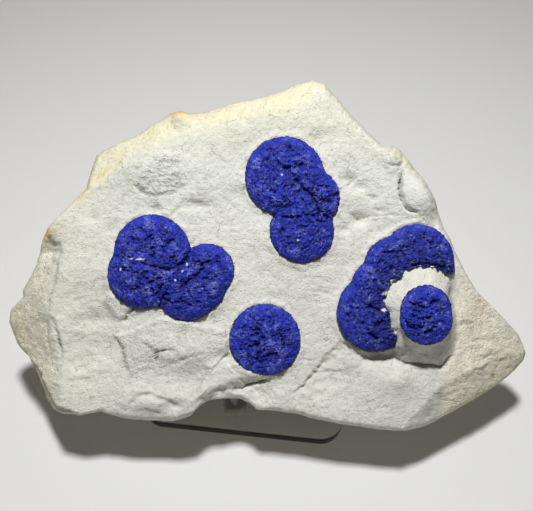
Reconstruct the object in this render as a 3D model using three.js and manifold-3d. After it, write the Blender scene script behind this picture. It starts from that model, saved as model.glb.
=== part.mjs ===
// Azurite suns on a slab of white claystone, which leans on a clear acrylic stand with three pegs.
// Millimetres, +Z up. The origin is on the table, at the middle of the whole object's footprint.
// The slab and its suns are drawn in the face frame: u to the right, v up the slope, w out of the face.

import * as THREE from "three";
import { mergeVertices } from "three/addons/utils/BufferGeometryUtils.js";
import Module from "manifold-3d";

const wasm = await Module();
wasm.setup();
const { degToRad, smoothstep } = THREE.MathUtils;

// Driving dimensions
const LEAN = degToRad(40); // slope of the slab's face, from level
const FACE_HEIGHT = 68.3; // middle of the face above the table
const SLAB_THICKNESS = 30; // face to back, at the middle
const GAP = 0.3; // clearance between pieces that touch
const SLAB_CELLS = 36; // cells across the slab's face, twice those across its back
const SUN_CELLS = 14; // cells across a sun

// The slab's outline seen square to its face, anticlockwise from the right-hand corner
const SLAB_OUTLINE = [
  [98, -36.5], [95, -30], [87.5, -22.5], [76.5, -13], [70, -2], [65, 9], [61, 21.5], [55.5, 31],
  [49, 39], [46.5, 40.5], [43, 39.2], [37.5, 44.5], [28.5, 54.5], [21, 63], [17, 65.5], [11, 63],
  [0, 58.5], [-14, 56], [-22, 53], [-27.5, 52], [-31.5, 53.5], [-36, 53], [-40, 49.5], [-48, 45],
  [-58, 41], [-63.5, 37.5], [-65, 30.5], [-65.5, 24.5], [-70.5, 18.5], [-77.5, 11.5], [-82, 6],
  [-85.5, -3], [-91.5, -13], [-91, -15.5], [-97, -20.5], [-98.5, -25.5], [-95.5, -33],
  [-87, -43.5], [-79, -52], [-73, -56.5], [-67, -57.5], [-59.5, -56], [-53, -58.5], [-42, -60],
  [-34, -60], [-27.5, -58], [-24.5, -54.5], [-21, -52], [-17, -51.3], [-10.5, -52], [-6, -53.5],
  [-3.5, -55.5], [8.5, -56.5], [16.5, -58.7], [28, -60.8], [40, -62.5], [50.5, -63.5], [59, -62],
  [67, -59], [75, -55], [84, -51], [92.5, -45.5], [97.5, -40.5],
];

// Broken facets round the face: a point on the ridge, the way it faces in degrees, and its slope
const FACETS = [
  { ridge: [-74, -20], facing: 183, slope: 36 },
  { ridge: [-50, 32], facing: 124, slope: 40 },
  { ridge: [-10, 49], facing: 106, slope: 42 },
  { ridge: [31, 47.5], facing: 46, slope: 48 },
  { ridge: [58, 18], facing: 28, slope: 48 },
  { ridge: [67, -20], facing: -8, slope: 24 },
  { ridge: [56, -54], facing: -39, slope: 30 },
];

// Broken facets of the back, in the same terms
const BACK_FACETS = [
  { ridge: [-38, 0], facing: 168, slope: 17 },
  { ridge: [30, 22], facing: 52, slope: 20 },
  { ridge: [44, -20], facing: -28, slope: 15 },
  { ridge: [-10, -34], facing: -104, slope: 22 },
];

// Lumps and pits of the face: middle, half width across and up, and height (a pit's is negative)
const LUMPS = [
  { at: [46, 35], size: [6, 5], height: 2.6 }, // knob at the upper right edge
  { at: [57, 21], size: [7, 9], height: 3 }, // shoulder below the knob
  { at: [46, -50], size: [17, 12], height: 2.4 }, // swelling along the lower edge
  { at: [45, -41], size: [5, 6], height: 1.6 }, // bump under the broken sun
  { at: [-34, -53], size: [13, 7], height: 2.4 }, // swelling at the lower left
  { at: [-31.5, 51], size: [5, 4], height: 4.5 }, // knuckle on the top edge
  { at: [-45, 30], size: [9, 7], height: 1 }, // rough patch at the upper left
  { at: [30, 27], size: [4, 3], height: -1.6 },
  { at: [32.5, 13], size: [4.5, 4], height: -1.9 },
  { at: [24, 9], size: [4, 3], height: -1.1 },
  { at: [-9, 22], size: [5, 4], height: -1 },
  { at: [-24, 17], size: [6, 3], height: -1.3 },
  { at: [-41, -52.5], size: [8, 3], height: -3 }, // scoop at the lower left
  { at: [-66, -30], size: [13, 16], height: -1.8 }, // smooth hollow at the left
  { at: [-5, -50], size: [8, 5], height: -2.6 }, // hollow above the notch
  { at: [22, -42], size: [10, 8], height: -1.2 },
];

// Layers left standing proud of the face: a polygon and its height
const LEDGES = [
  {
    outline: [[-53, -28.5], [-49.5, -43.5], [-38, -45.5], [-22, -44], [-14, -34.5], [-15, -26], [-38, -21]],
    height: 1.8,
  },
  { outline: [[-22, -53], [-12.5, -47.5], [-1, -43], [-6, -36], [-20, -40]], height: 2.2 },
];
const LEDGE_EDGE = 1.4; // width of a ledge's broken edge

// The clay boss that carries the smallest sun
const BOSS = { at: [55, -21.5], foot: 15.5, top: 10.6, height: 9.5, root: 6, cells: 14 };

// Suns: lobes as [u, v, radius], the crown's height over the face, and how far the lower rim is lifted
const SUNS = {
  upper_sun: { lobes: [[6.5, 27.9, 13.8], [16.3, 20.8, 10], [12.6, 8.9, 11.6]], crown: 4.6, lift: 0.9 },
  left_sun: {
    lobes: [[-40.9, 1.4, 13.2], [-43.9, -7.6, 13.3], [-21.4, -6.2, 9.6], [-28.3, -12.2, 11.2]],
    crown: 4.8, lift: 0.9,
  },
  round_sun: { lobes: [[-0.6, -30, 12.8]], crown: 4.6, lift: 0.9 },
  broken_sun: { lobes: [[53.7, -2.4, 13.9], [44.5, -9, 9.5], [38.8, -20.4, 13.9]], crown: 5.6, lift: 1.6 },
  boss_sun: { lobes: [[55, -19, 8.9], [55.1, -21.8, 9.1]], crown: 4.2, lift: 0.4, seat: BOSS.height - 0.6 },
};
const SUN_ROOT = 6; // how deep a sun's blank reaches under the face before the slab is cut from it
const SUN_RIM = 0.45; // share of the crown's height at which the rim turns down
const SUN_LUMP = 0.5; // height of the lumps on a sun

// The broken sun's inner edge round a middle: degrees and radius. Past its last point the sun is gone.
const BREAK_AT = [55.7, -19.2];
const BREAK_EDGE = [
  [44, 17], [60, 14.9], [75, 14.9], [89, 14.6], [101, 13.5], [113, 14], [121, 12.9], [144, 11.9], [154, 12.7],
  [168, 13.1], [181, 14.3], [189, 13], [208, 12.4], [219, 13.8], [232, 12.6], [240, 15.5],
  [243, 32], [300, 32], [360, 32], [401, 32],
];

// The stand
const BASE = { width: 80, depth: 80, thickness: 4.8, corner: 9, edge: 0.5 };
const STAND_TURN = degToRad(-6.7); // the stand stands a little askew under the slab
const STAND_PLACE = [-6, 3.5]; // middle of the base, from under the middle of the slab's face
const PEG_RADIUS = 4.7;
const PEG_SIDES = 20;
const PEG_EDGE = 0.6; // easing of a peg's top edge
const PEGS = { front_peg: [-3, -30.2], rear_left_peg: [-27, 28], rear_right_peg: [27, 28] };
const TALLEST_PEG = 90;

// Colours
const CLAYSTONE = new THREE.MeshStandardMaterial({ color: 0xdcdacd, roughness: 0.95, metalness: 0 });
const AZURITE = new THREE.MeshStandardMaterial({ color: 0x1d2290, roughness: 0.6, metalness: 0 });
const ACRYLIC = new THREE.MeshPhysicalMaterial({
  color: 0xf2f5f4, roughness: 0.05, metalness: 0, transmission: 1, ior: 1.49,
});

// Distance from the origin to an outline, along the ray at an angle.
function reach(outline, angle) {
  const dx = Math.cos(angle);
  const dy = Math.sin(angle);
  let far = 0;
  outline.forEach(([ax, ay], i) => {
    const [bx, by] = outline[(i + 1) % outline.length];
    const [ex, ey] = [bx - ax, by - ay];
    const cross = dx * ey - dy * ex;
    const along = (ax * ey - ay * ex) / cross;
    const share = (ax * dy - ay * dx) / cross;
    if (along > 0 && share >= 0 && share <= 1) far = Math.max(far, along);
  });
  return far;
}

// Distance from a point to an outline, negative inside it.
function signedDistance(outline, u, v) {
  let nearest = Infinity;
  let inside = false;
  outline.forEach(([ax, ay], i) => {
    const [bx, by] = outline[(i + 1) % outline.length];
    const [ex, ey] = [bx - ax, by - ay];
    const share = THREE.MathUtils.clamp(((u - ax) * ex + (v - ay) * ey) / (ex * ex + ey * ey), 0, 1);
    nearest = Math.min(nearest, Math.hypot(u - ax - share * ex, v - ay - share * ey));
    if (ay > v !== by > v && u < ax + ((v - ay) * ex) / ey) inside = !inside;
  });
  return inside ? -nearest : nearest;
}

// Slow waves of a worn surface, about 1 high.
const swell = (u, v) =>
  0.6 * Math.sin(u / 11 + 1) * Math.cos(v / 9) + 0.4 * Math.sin((u + 2 * v) / 8.5) * Math.cos((v - u) / 13);

// Polar place of a lattice point when a square of cells is pressed into a disc of radius 1.
function discPlace(i, j, cells) {
  const a = (2 * i) / cells - 1;
  const b = (2 * j) / cells - 1;
  if (a === 0 && b === 0) return { rho: 0, angle: 0 };
  const eighth = Math.PI / 4;
  const wide = Math.abs(a) >= Math.abs(b);
  const turn = wide ? b / a : 2 - a / b;
  const half = (wide ? a : b) < 0 ? Math.PI : 0;
  return { rho: Math.max(Math.abs(a), Math.abs(b)), angle: eighth * turn + half };
}

// Lattice column and row of the k-th point round a square of cells, anticlockwise.
function rimCell(k, cells) {
  const step = k % cells;
  const corner = Math.floor(k / cells) % 4;
  return [[step, 0], [cells, step], [cells - step, cells], [0, cells - step]][corner];
}

// A closed lens: a fine lattice on top, one with half its cells below, and a rim that joins them.
// top and bottom give the point [u, v, w] at a polar place.
function lens(cells, top, bottom) {
  const positions = [];
  const faces = [];
  const sheet = (count, place, flip) => {
    const first = positions.length / 3;
    const at = (i, j) => first + j * (count + 1) + i;
    for (let j = 0; j <= count; j++) {
      for (let i = 0; i <= count; i++) {
        const { rho, angle } = discPlace(i, j, count);
        positions.push(...place(rho, angle));
      }
    }
    for (let j = 0; j < count; j++) {
      for (let i = 0; i < count; i++) {
        const [a, b, c, d] = [at(i, j), at(i + 1, j), at(i + 1, j + 1), at(i, j + 1)];
        const bent = i < count / 2 === j < count / 2;
        const halves = bent ? [[a, b, c], [a, c, d]] : [[a, b, d], [b, c, d]];
        halves.forEach((half) => faces.push(...(flip ? half.reverse() : half)));
      }
    }
    return at;
  };
  const upper = sheet(cells, top, false);
  const lower = sheet(cells / 2, bottom, true);
  for (let k = 0; k < 2 * cells; k++) {
    const [f0, f1, f2] = [0, 1, 2].map((n) => upper(...rimCell(2 * k + n, cells)));
    const [c0, c1] = [0, 1].map((n) => lower(...rimCell(k + n, cells / 2)));
    faces.push(f0, c0, f1, f1, c0, c1, f1, c1, f2);
  }
  const geometry = new THREE.BufferGeometry();
  geometry.setAttribute("position", new THREE.Float32BufferAttribute(positions, 3));
  geometry.setIndex(faces);
  return geometry;
}

// A geometry as a solid that can be joined and cut.
function solidOf(geometry) {
  const bare = geometry.clone();
  bare.deleteAttribute("normal");
  bare.deleteAttribute("uv");
  const merged = mergeVertices(bare, 1e-4);
  return new wasm.Manifold(
    new wasm.Mesh({
      numProp: 3,
      vertProperties: new Float32Array(merged.attributes.position.array),
      triVerts: new Uint32Array(merged.index.array),
    }),
  );
}

// The largest body of a solid, as a geometry.
function geometryOf(solid) {
  const bodies = solid.decompose().sort((a, b) => b.volume() - a.volume());
  const mesh = bodies[0].getMesh();
  const geometry = new THREE.BufferGeometry();
  geometry.setAttribute("position", new THREE.BufferAttribute(mesh.vertProperties, 3));
  geometry.setIndex(new THREE.BufferAttribute(mesh.triVerts, 1));
  geometry.computeVertexNormals();
  return geometry;
}

// How far a set of broken facets has taken a surface down.
function facetDrop(facets, u, v) {
  const drops = facets.map(({ ridge, facing, slope }) => {
    const turn = degToRad(facing);
    const beyond = (u - ridge[0]) * Math.cos(turn) + (v - ridge[1]) * Math.sin(turn);
    return beyond * Math.tan(degToRad(slope));
  });
  return Math.max(0, ...drops);
}

// Height of the slab's face.
function faceHeight(u, v) {
  let height = 0.7 * swell(u, v);
  for (const { at, size, height: lump } of LUMPS) {
    height += lump * Math.exp(-(((u - at[0]) / size[0]) ** 2) - ((v - at[1]) / size[1]) ** 2);
  }
  for (const { outline, height: ledge } of LEDGES) {
    height += ledge * smoothstep(-signedDistance(outline, u, v), -LEDGE_EDGE, LEDGE_EDGE);
  }
  return height - facetDrop(FACETS, u, v);
}

// The clay boss, grown by a clearance: a worn cone with a broad top, on a root inside the slab.
function boss(grow) {
  const { at, foot, top: crown, height, root, cells } = BOSS;
  const brow = 0.6; // share of the lattice that is the broad top
  const crest = (rho, angle) => {
    const down = smoothstep(rho, brow, 1);
    const slack = 1 + 0.05 * Math.sin(3 * angle + 2) + 0.05 * Math.sin(5 * angle);
    const flank = Math.max(0, rho - brow) / (1 - brow);
    const radius = Math.min(1, rho / brow) * crown + flank * (foot - crown) * slack;
    const [u, v] = [at[0] + (radius + grow) * Math.cos(angle), at[1] + (radius + grow) * Math.sin(angle)];
    return [u, v, height * (1 - down) + 0.4 * swell(4 * u, 4 * v) + grow];
  };
  const stub = (rho, angle) => {
    const radius = rho * (foot + grow);
    return [at[0] + radius * Math.cos(angle), at[1] + radius * Math.sin(angle), -root];
  };
  return solidOf(lens(cells, crest, stub));
}

// The slab, grown by a clearance. Its outermost lattice ring stands on the side, under the face's rim.
function slab(grow) {
  const faceShare = 1 - 2 / SLAB_CELLS;
  const rimFall = 3.2; // the face's rim is worn round
  const rimWear = 4;
  const side = { inset: 1.5, depth: 12 };
  const back = { inset: 7, crown: 5 };
  const face = (rho, angle) => {
    const edge = reach(SLAB_OUTLINE, angle) + grow;
    const share = Math.min(1, rho / faceShare);
    const [u, v] = [share * edge * Math.cos(angle), share * edge * Math.sin(angle)];
    const fromRim = (1 - share) * edge;
    const worn = rimFall * Math.max(0, 1 - fromRim / rimWear) ** 2;
    const w = faceHeight(u, v) - worn + grow;
    if (rho <= faceShare + 1e-6) return [u, v, w];
    const shrink = 1 - side.inset / edge;
    return [u * shrink, v * shrink, Math.min(w - 3, -side.depth + swell(v, u))];
  };
  const rear = (rho, angle) => {
    const edge = reach(SLAB_OUTLINE, angle) - back.inset + 1.5 * Math.sin(5 * angle) + grow;
    const [u, v] = [rho * edge * Math.cos(angle), rho * edge * Math.sin(angle)];
    const worn = back.crown * rho ** 5 + facetDrop(BACK_FACETS, u, v);
    return [u, v, Math.min(-17, worn - SLAB_THICKNESS + 0.9 * swell(1.3 * v, u)) - grow];
  };
  return solidOf(lens(SLAB_CELLS, face, rear)).add(boss(grow));
}

// Lumps of packed blades on a sun, from -1 to 1.
const blades = (u, v) =>
  0.5 * Math.sin(2.1 * u + 1.3 * Math.sin(1.1 * v)) + 0.5 * Math.sin(1.9 * v + 1.7 * Math.sin(0.9 * u));

// A sun's blank: lobed domes with a rounded rim, on a root that reaches under the face.
function sunBlank({ lobes, crown, lift, seat: given }) {
  const middle = [0, 1].map((axis) => lobes.reduce((sum, lobe) => sum + lobe[axis], 0) / lobes.length);
  const seat = given ?? faceHeight(...middle);
  const edgeAt = (angle) =>
    Math.max(
      ...lobes.map(([u, v, radius]) => {
        const [du, dv] = [u - middle[0], v - middle[1]];
        const along = du * Math.cos(angle) + dv * Math.sin(angle);
        const across = du * Math.sin(angle) - dv * Math.cos(angle);
        return Math.abs(across) < radius ? along + Math.sqrt(radius ** 2 - across ** 2) : 0;
      }),
    );
  const domeAt = (u, v) =>
    Math.max(
      ...lobes.map(([cu, cv, radius]) => {
        const share = Math.min(1, Math.hypot(u - cu, v - cv) / radius);
        const dimple = 0.16 * Math.exp(-((share / 0.3) ** 2));
        return crown * (SUN_RIM + (1 - SUN_RIM) * Math.sqrt(1 - share ** 3) - dimple);
      }),
    );
  const tilt = (v) => (-lift * (v - middle[1])) / edgeAt(-Math.PI / 2);
  const top = (rho, angle) => {
    const edge = edgeAt(angle);
    const [u, v] = [middle[0] + rho * edge * Math.cos(angle), middle[1] + rho * edge * Math.sin(angle)];
    const lump = SUN_LUMP * blades(u, v) * Math.sqrt(1 - rho ** 2);
    return [u, v, seat + tilt(v) + domeAt(u, v) + lump];
  };
  const root = (rho, angle) => {
    const edge = rho * edgeAt(angle) * 0.94;
    return [middle[0] + edge * Math.cos(angle), middle[1] + edge * Math.sin(angle), seat - SUN_ROOT];
  };
  return solidOf(lens(SUN_CELLS, top, root));
}

// The tool that breaks the middle out of a sun: a prism with the broken edge's outline.
function breakTool() {
  const corners = BREAK_EDGE.map(([angle, radius]) => {
    const turn = degToRad(angle);
    return new THREE.Vector2(BREAK_AT[0] + radius * Math.cos(turn), BREAK_AT[1] + radius * Math.sin(turn));
  });
  const prism = new THREE.ExtrudeGeometry(new THREE.Shape(corners), { depth: 60, bevelEnabled: false });
  return solidOf(prism.translate(0, 0, -30));
}

function named(name, geometry, material) {
  const mesh = new THREE.Mesh(geometry, material);
  mesh.name = name;
  return mesh;
}

// The slab and its suns, leaning.
function specimen() {
  const group = new THREE.Group();
  group.add(named("claystone_slab", geometryOf(slab(0)), CLAYSTONE));
  const bed = slab(GAP);
  for (const [name, sun] of Object.entries(SUNS)) {
    let solid = sunBlank(sun).subtract(bed);
    if (name === "broken_sun") solid = solid.subtract(breakTool());
    group.add(named(name, geometryOf(solid), AZURITE));
  }
  group.rotation.x = LEAN;
  group.position.z = FACE_HEIGHT;
  return group;
}

// A rounded rectangle with its middle at the origin.
function roundedRectangle(width, depth, corner) {
  const [x, y] = [width / 2 - corner, depth / 2 - corner];
  const shape = new THREE.Shape();
  [[x, -y, -90], [x, y, 0], [-x, y, 90], [-x, -y, 180]].forEach(([cx, cy, start]) => {
    shape.absarc(cx, cy, corner, degToRad(start), degToRad(start + 90), false);
  });
  return shape;
}

// The base plate, its edges eased.
function standBase() {
  const { width, depth, thickness, corner, edge } = BASE;
  const shape = roundedRectangle(width - 2 * edge, depth - 2 * edge, corner - edge);
  const plate = new THREE.ExtrudeGeometry(shape, {
    depth: thickness - 2 * edge, bevelThickness: edge, bevelSize: edge, bevelSegments: 2, curveSegments: 6,
  });
  return geometryOf(solidOf(plate.translate(0, 0, edge)));
}

// A round peg cemented to the base, with an eased top edge, up to a height over the table.
function peg(x, y, top) {
  const foot = BASE.thickness + GAP;
  const neck = PEG_RADIUS - PEG_EDGE;
  const profile = [[0, foot], [PEG_RADIUS, foot], [PEG_RADIUS, top - PEG_EDGE], [neck, top], [0, top]];
  const turned = new THREE.LatheGeometry(profile.map(([r, z]) => new THREE.Vector2(r, z)), PEG_SIDES);
  return turned.rotateX(Math.PI / 2).translate(x, y, 0);
}

// The stand under a leaning slab. Each peg rises until it meets the slab.
function stand(leaningSlab) {
  const group = new THREE.Group();
  group.rotation.z = STAND_TURN;
  group.position.set(...STAND_PLACE, 0);
  group.updateMatrixWorld(true);
  leaningSlab.updateWorldMatrix(true, false);
  const inStand = group.matrixWorld.clone().invert().multiply(leaningSlab.matrixWorld);
  const over = solidOf(leaningSlab.geometry.clone().applyMatrix4(inStand));
  group.add(named("stand_base", standBase(), ACRYLIC));
  for (const [name, [x, y]] of Object.entries(PEGS)) {
    const column = solidOf(peg(x, y, TALLEST_PEG));
    const top = over.intersect(column).boundingBox().min[2] - GAP;
    group.add(named(name, peg(x, y, top), ACRYLIC));
  }
  return group;
}

// The whole object, with its footprint's middle at the origin.
function azuriteSpecimen() {
  const leaning = specimen();
  const placed = new THREE.Group();
  placed.add(leaning, stand(leaning.getObjectByName("claystone_slab")));
  const box = new THREE.Box3().setFromObject(placed, true);
  const middle = box.getCenter(new THREE.Vector3());
  placed.position.set(-middle.x, -middle.y, -box.min.z);
  return new THREE.Group().add(placed);
}

export default azuriteSpecimen();
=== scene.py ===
"""Azurite suns on a leaning slab of white claystone, held by a clear acrylic stand.

The slab and its suns are drawn in millimetres in the face frame: u to the right, v up the slope and w out
of the face. What Blender gets is in metres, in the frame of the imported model.
"""

import logging
import math
from dataclasses import dataclass
from enum import Enum, IntEnum
from typing import ClassVar

import bpy
import numpy as np
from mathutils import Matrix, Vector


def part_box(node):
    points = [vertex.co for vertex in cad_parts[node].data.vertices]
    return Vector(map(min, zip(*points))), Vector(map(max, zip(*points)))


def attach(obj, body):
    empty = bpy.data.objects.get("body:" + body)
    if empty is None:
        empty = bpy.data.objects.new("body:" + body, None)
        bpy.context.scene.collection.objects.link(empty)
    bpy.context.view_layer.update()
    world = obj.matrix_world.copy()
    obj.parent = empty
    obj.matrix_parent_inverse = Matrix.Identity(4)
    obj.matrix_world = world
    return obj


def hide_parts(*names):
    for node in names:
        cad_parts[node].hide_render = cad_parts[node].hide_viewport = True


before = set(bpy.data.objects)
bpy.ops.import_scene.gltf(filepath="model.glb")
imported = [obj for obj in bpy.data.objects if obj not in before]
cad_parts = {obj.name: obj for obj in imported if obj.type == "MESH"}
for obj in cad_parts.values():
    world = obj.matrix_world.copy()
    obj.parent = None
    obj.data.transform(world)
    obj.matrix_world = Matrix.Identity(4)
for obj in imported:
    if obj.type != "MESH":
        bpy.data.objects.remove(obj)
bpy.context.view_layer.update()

Array = np.ndarray
Point = tuple[float, float]
Path = tuple[Point, ...]
Table = tuple[tuple[float, float], ...]
Fleck = tuple[float, float, float, float]
Colour = tuple[float, float, float, float]
Piece = bpy.types.Object
Socket = bpy.types.NodeSocket
StainsAndPaintedLight = tuple[tuple[Socket, Colour], ...]
LOG = logging.getLogger("azurite_specimen")
MM = 0.001
FULL_TURN = 2.0 * math.pi
FACE_SEED, SIDE_SEED, STAIN_SEED = 7, 23, 31
RIM_SEED, BREAK_SEED, DRUSE_SEED, FLECK_SEED = 40, 60, 100, 300
NOISE_ROWS = 256
OUTLINE_STEPS = 4096
LOBE_STEPS = 720


def smoothstep(low: float, high: float | Array, x: Array) -> Array:
    """Rises smoothly from 0 at low to 1 at high.

    Args:
        low: Value where the rise begins.
        high: Value where it ends; it may be below low for a fall.
        x: Values to map.

    Returns:
        An array from 0 to 1.
    """
    t = np.clip((x - low) / (high - low), 0.0, 1.0)
    return t * t * (3.0 - 2.0 * t)


def eased(t: Array) -> Array:
    """Eases shares from 0 to 1, with no slope or bend at either end."""
    return t * t * t * (t * (t * 6.0 - 15.0) + 10.0)


class Noise:
    """Repeatable gradient and cell noise in the plane."""

    def __init__(self, seed: int) -> None:
        """Draws the tables of one noise.

        Args:
            seed: Number that fixes the noise.
        """
        rng = np.random.default_rng(seed)
        turn = rng.uniform(0.0, FULL_TURN, NOISE_ROWS)
        self.order = rng.permutation(NOISE_ROWS)
        self.slope = np.stack([np.cos(turn), np.sin(turn)], -1)
        self.jitter = rng.uniform(0.1, 0.9, (NOISE_ROWS, 2))
        self.level = rng.uniform(-1.0, 1.0, NOISE_ROWS)
        self.tilt = rng.normal(0.0, 1.0, (NOISE_ROWS, 2))

    def key(self, i: Array, j: Array) -> Array:
        """Table row of a lattice square."""
        last = NOISE_ROWS - 1
        return self.order[(self.order[i & last] + j) & last]

    def smooth(self, x: Array, y: Array) -> Array:
        """Gradient noise.

        Args:
            x: First coordinate, in lattice squares.
            y: Second coordinate.

        Returns:
            Values of about -1 to 1.
        """
        i, j = np.floor(x).astype(int), np.floor(y).astype(int)
        fx, fy = x - i, y - j

        def corner(a: int, b: int) -> Array:
            """Share of one corner's slope."""
            slope = self.slope[self.key(i + a, j + b)]
            return slope[..., 0] * (fx - a) + slope[..., 1] * (fy - b)

        ex, ey = eased(fx), eased(fy)
        low = corner(0, 0) * (1.0 - ex) + corner(1, 0) * ex
        high = corner(0, 1) * (1.0 - ex) + corner(1, 1) * ex
        return 1.5 * (low * (1.0 - ey) + high * ey)

    def layered(self, x: Array, y: Array, octaves: int = 4, gain: float = 0.5) -> Array:
        """Several octaves of gradient noise.

        Args:
            x: First coordinate, in squares of the broadest octave.
            y: Second coordinate.
            octaves: How many octaves are summed.
            gain: Height of each octave over the one before it.

        Returns:
            Values of about -1 to 1.
        """
        total = np.zeros_like(x)
        for k in range(octaves):
            total += gain**k * self.smooth(x * 2.0**k + 17.3 * k, y * 2.0**k - 9.1 * k)
        return total / sum(gain**k for k in range(octaves)) * 1.3

    def ridged(self, x: Array, y: Array, octaves: int = 3) -> Array:
        """Noise with sharp crests.

        Args:
            x: First coordinate, in squares of the broadest octave.
            y: Second coordinate.
            octaves: How many octaves are summed.

        Returns:
            Values from 0 to 1.
        """
        total = np.zeros_like(x)
        for k in range(octaves):
            total += 0.5**k * (1.0 - np.abs(self.smooth(x * 2.0**k + 5.7 * k, y * 2.0**k + 3.1 * k)))
        return total / sum(0.5**k for k in range(octaves))

    def cells(self, x: Array, y: Array) -> tuple[Array, Array, Array, Array, Array]:
        """Cells round scattered points.

        Args:
            x: First coordinate, in cells.
            y: Second coordinate.

        Returns:
            Distance to the nearest point and to the next, the nearest one's key, and the way from it.
        """
        i, j = np.floor(x).astype(int), np.floor(y).astype(int)
        near, after = np.full(x.shape, np.inf), np.full(x.shape, np.inf)
        best = np.zeros(x.shape, int)
        away_x, away_y = np.zeros_like(x), np.zeros_like(x)
        for a in (-1, 0, 1):
            for b in (-1, 0, 1):
                key = self.key(i + a, j + b)
                dx = x - i - a - self.jitter[key, 0]
                dy = y - j - b - self.jitter[key, 1]
                far = np.hypot(dx, dy)
                closer = far < near
                after = np.where(closer, near, np.minimum(after, far))
                near = np.where(closer, far, near)
                best = np.where(closer, key, best)
                away_x = np.where(closer, dx, away_x)
                away_y = np.where(closer, dy, away_y)
        return near, after, best, away_x, away_y

    def blades(self, x: Array, y: Array, tilt: float = 0.6) -> Array:
        """Packed crystal ends: a flat, tilted facet in every cell.

        Args:
            x: First coordinate, in cells.
            y: Second coordinate.
            tilt: Slope of the facets.

        Returns:
            Heights of about -1 to 1.
        """
        _, _, key, dx, dy = self.cells(x, y)
        return 0.55 * self.level[key] + tilt * (self.tilt[key, 0] * dx + self.tilt[key, 1] * dy)


@dataclass(frozen=True)
class Fade:
    """A share that comes in smoothly between two values."""

    start: float
    full: float
    share: float = 1.0

    def of(self, values: Array) -> Array:
        """The share at each value."""
        return self.share * smoothstep(self.start, self.full, values)


@dataclass(frozen=True)
class Relief:
    """One kind of roughness: its height, its spacing across and up, and how the noise is read for it."""

    height: float
    across: float
    up: float
    shift: Point = (0.0, 0.0)
    octaves: int = 3
    gain: float = 0.5
    tilt: float = 0.5

    def spaced(self, u: Array, v: Array) -> tuple[Array, Array]:
        """Places counted in spacings."""
        return u / self.across + self.shift[0], v / self.up + self.shift[1]

    def ripple(self, noise: Noise, u: Array, v: Array) -> Array:
        """Heights of a single octave."""
        return self.height * noise.smooth(*self.spaced(u, v))

    def waves(self, noise: Noise, u: Array, v: Array) -> Array:
        """Heights of several octaves."""
        return self.height * noise.layered(*self.spaced(u, v), self.octaves, self.gain)

    def shards(self, noise: Noise, u: Array, v: Array) -> Array:
        """Heights of packed, tilted facets."""
        return self.height * noise.blades(*self.spaced(u, v), self.tilt)


@dataclass(frozen=True)
class Fray:
    """Roughness round a rim: its height, and the circle in the noise along which it is read."""

    height: float
    radius: float
    middle: Point
    octaves: int = 3
    gain: float = 0.5

    def along(self, noise: Noise, angle: Array) -> Array:
        """Heights in each direction."""
        u, v = (self.radius * wave(angle) + at for wave, at in zip((np.cos, np.sin), self.middle))
        return self.height * noise.layered(u, v, self.octaves, self.gain)


def outline_reach(outline: Path, angle: Array) -> Array:
    """Distance from the origin to a closed outline.

    Args:
        outline: Corners, anticlockwise round the origin.
        angle: Directions, in radians.

    Returns:
        The distance along each direction.
    """
    turns = np.linspace(0.0, FULL_TURN, OUTLINE_STEPS + 1)
    dx, dy = np.cos(turns), np.sin(turns)
    far = np.zeros_like(turns)
    for (ax, ay), (bx, by) in zip(outline, outline[1:] + outline[:1]):
        ex, ey = bx - ax, by - ay
        cross = dx * ey - dy * ex
        cross = np.where(np.abs(cross) < 1e-9, 1e-9, cross)
        along, share = (ax * ey - ay * ex) / cross, (ax * dy - ay * dx) / cross
        far = np.where((along > 0) & (share >= 0) & (share <= 1), np.maximum(far, along), far)
    return np.interp(np.mod(angle, FULL_TURN), turns, far)


def polygon_distance(outline: Path, u: Array, v: Array) -> Array:
    """Distance to a closed outline, negative inside.

    Args:
        outline: Corners of the outline.
        u: First coordinate of the points.
        v: Second coordinate.

    Returns:
        Signed distances.
    """
    nearest = np.full(u.shape, np.inf)
    inside = np.zeros(u.shape, bool)
    for (ax, ay), (bx, by) in zip(outline, outline[1:] + outline[:1]):
        ex, ey = bx - ax, by - ay
        share = np.clip(((u - ax) * ex + (v - ay) * ey) / (ex * ex + ey * ey), 0.0, 1.0)
        nearest = np.minimum(nearest, np.hypot(u - ax - share * ex, v - ay - share * ey))
        if ay != by:
            inside ^= ((ay > v) != (by > v)) & (u < ax + (v - ay) * ex / ey)
    return np.where(inside, -nearest, nearest)


def path_distance(path: Path, u: Array, v: Array) -> tuple[Array, Array, Array]:
    """Distance to an open path.

    Args:
        path: Corners of the path.
        u: First coordinate of the points.
        v: Second coordinate.

    Returns:
        The distance, the side of the path (1 is its left) and the share of its length.
    """
    nearest, side, place = np.full(u.shape, np.inf), np.zeros_like(u), np.zeros_like(u)
    spans = list(zip(path, path[1:]))
    for k, ((ax, ay), (bx, by)) in enumerate(spans):
        ex, ey = bx - ax, by - ay
        share = np.clip(((u - ax) * ex + (v - ay) * ey) / (ex * ex + ey * ey), 0.0, 1.0)
        far = np.hypot(u - ax - share * ex, v - ay - share * ey)
        closer = far < nearest
        nearest = np.where(closer, far, nearest)
        side = np.where(closer, np.sign(ex * (v - ay) - ey * (u - ax)), side)
        place = np.where(closer, (k + share) / len(spans), place)
    return nearest, side, place


def disc_places(cells: int) -> tuple[Array, Array]:
    """A square lattice pressed into a disc, so that its cells stay even.

    Args:
        cells: Cells along a side.

    Returns:
        The share of the radius, and the angle, of each lattice point.
    """
    a, b = np.meshgrid(np.linspace(-1.0, 1.0, cells + 1), np.linspace(-1.0, 1.0, cells + 1))
    wide = np.abs(a) >= np.abs(b)
    long, short = np.where(wide, a, b), np.where(wide, b, a)
    ratio = np.divide(short, long, out=np.zeros_like(a), where=long != 0)
    angle = math.pi / 4.0 * np.where(wide, ratio, 2.0 - ratio) + np.where(long < 0, math.pi, 0.0)
    return np.maximum(np.abs(a), np.abs(b)), angle


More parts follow.
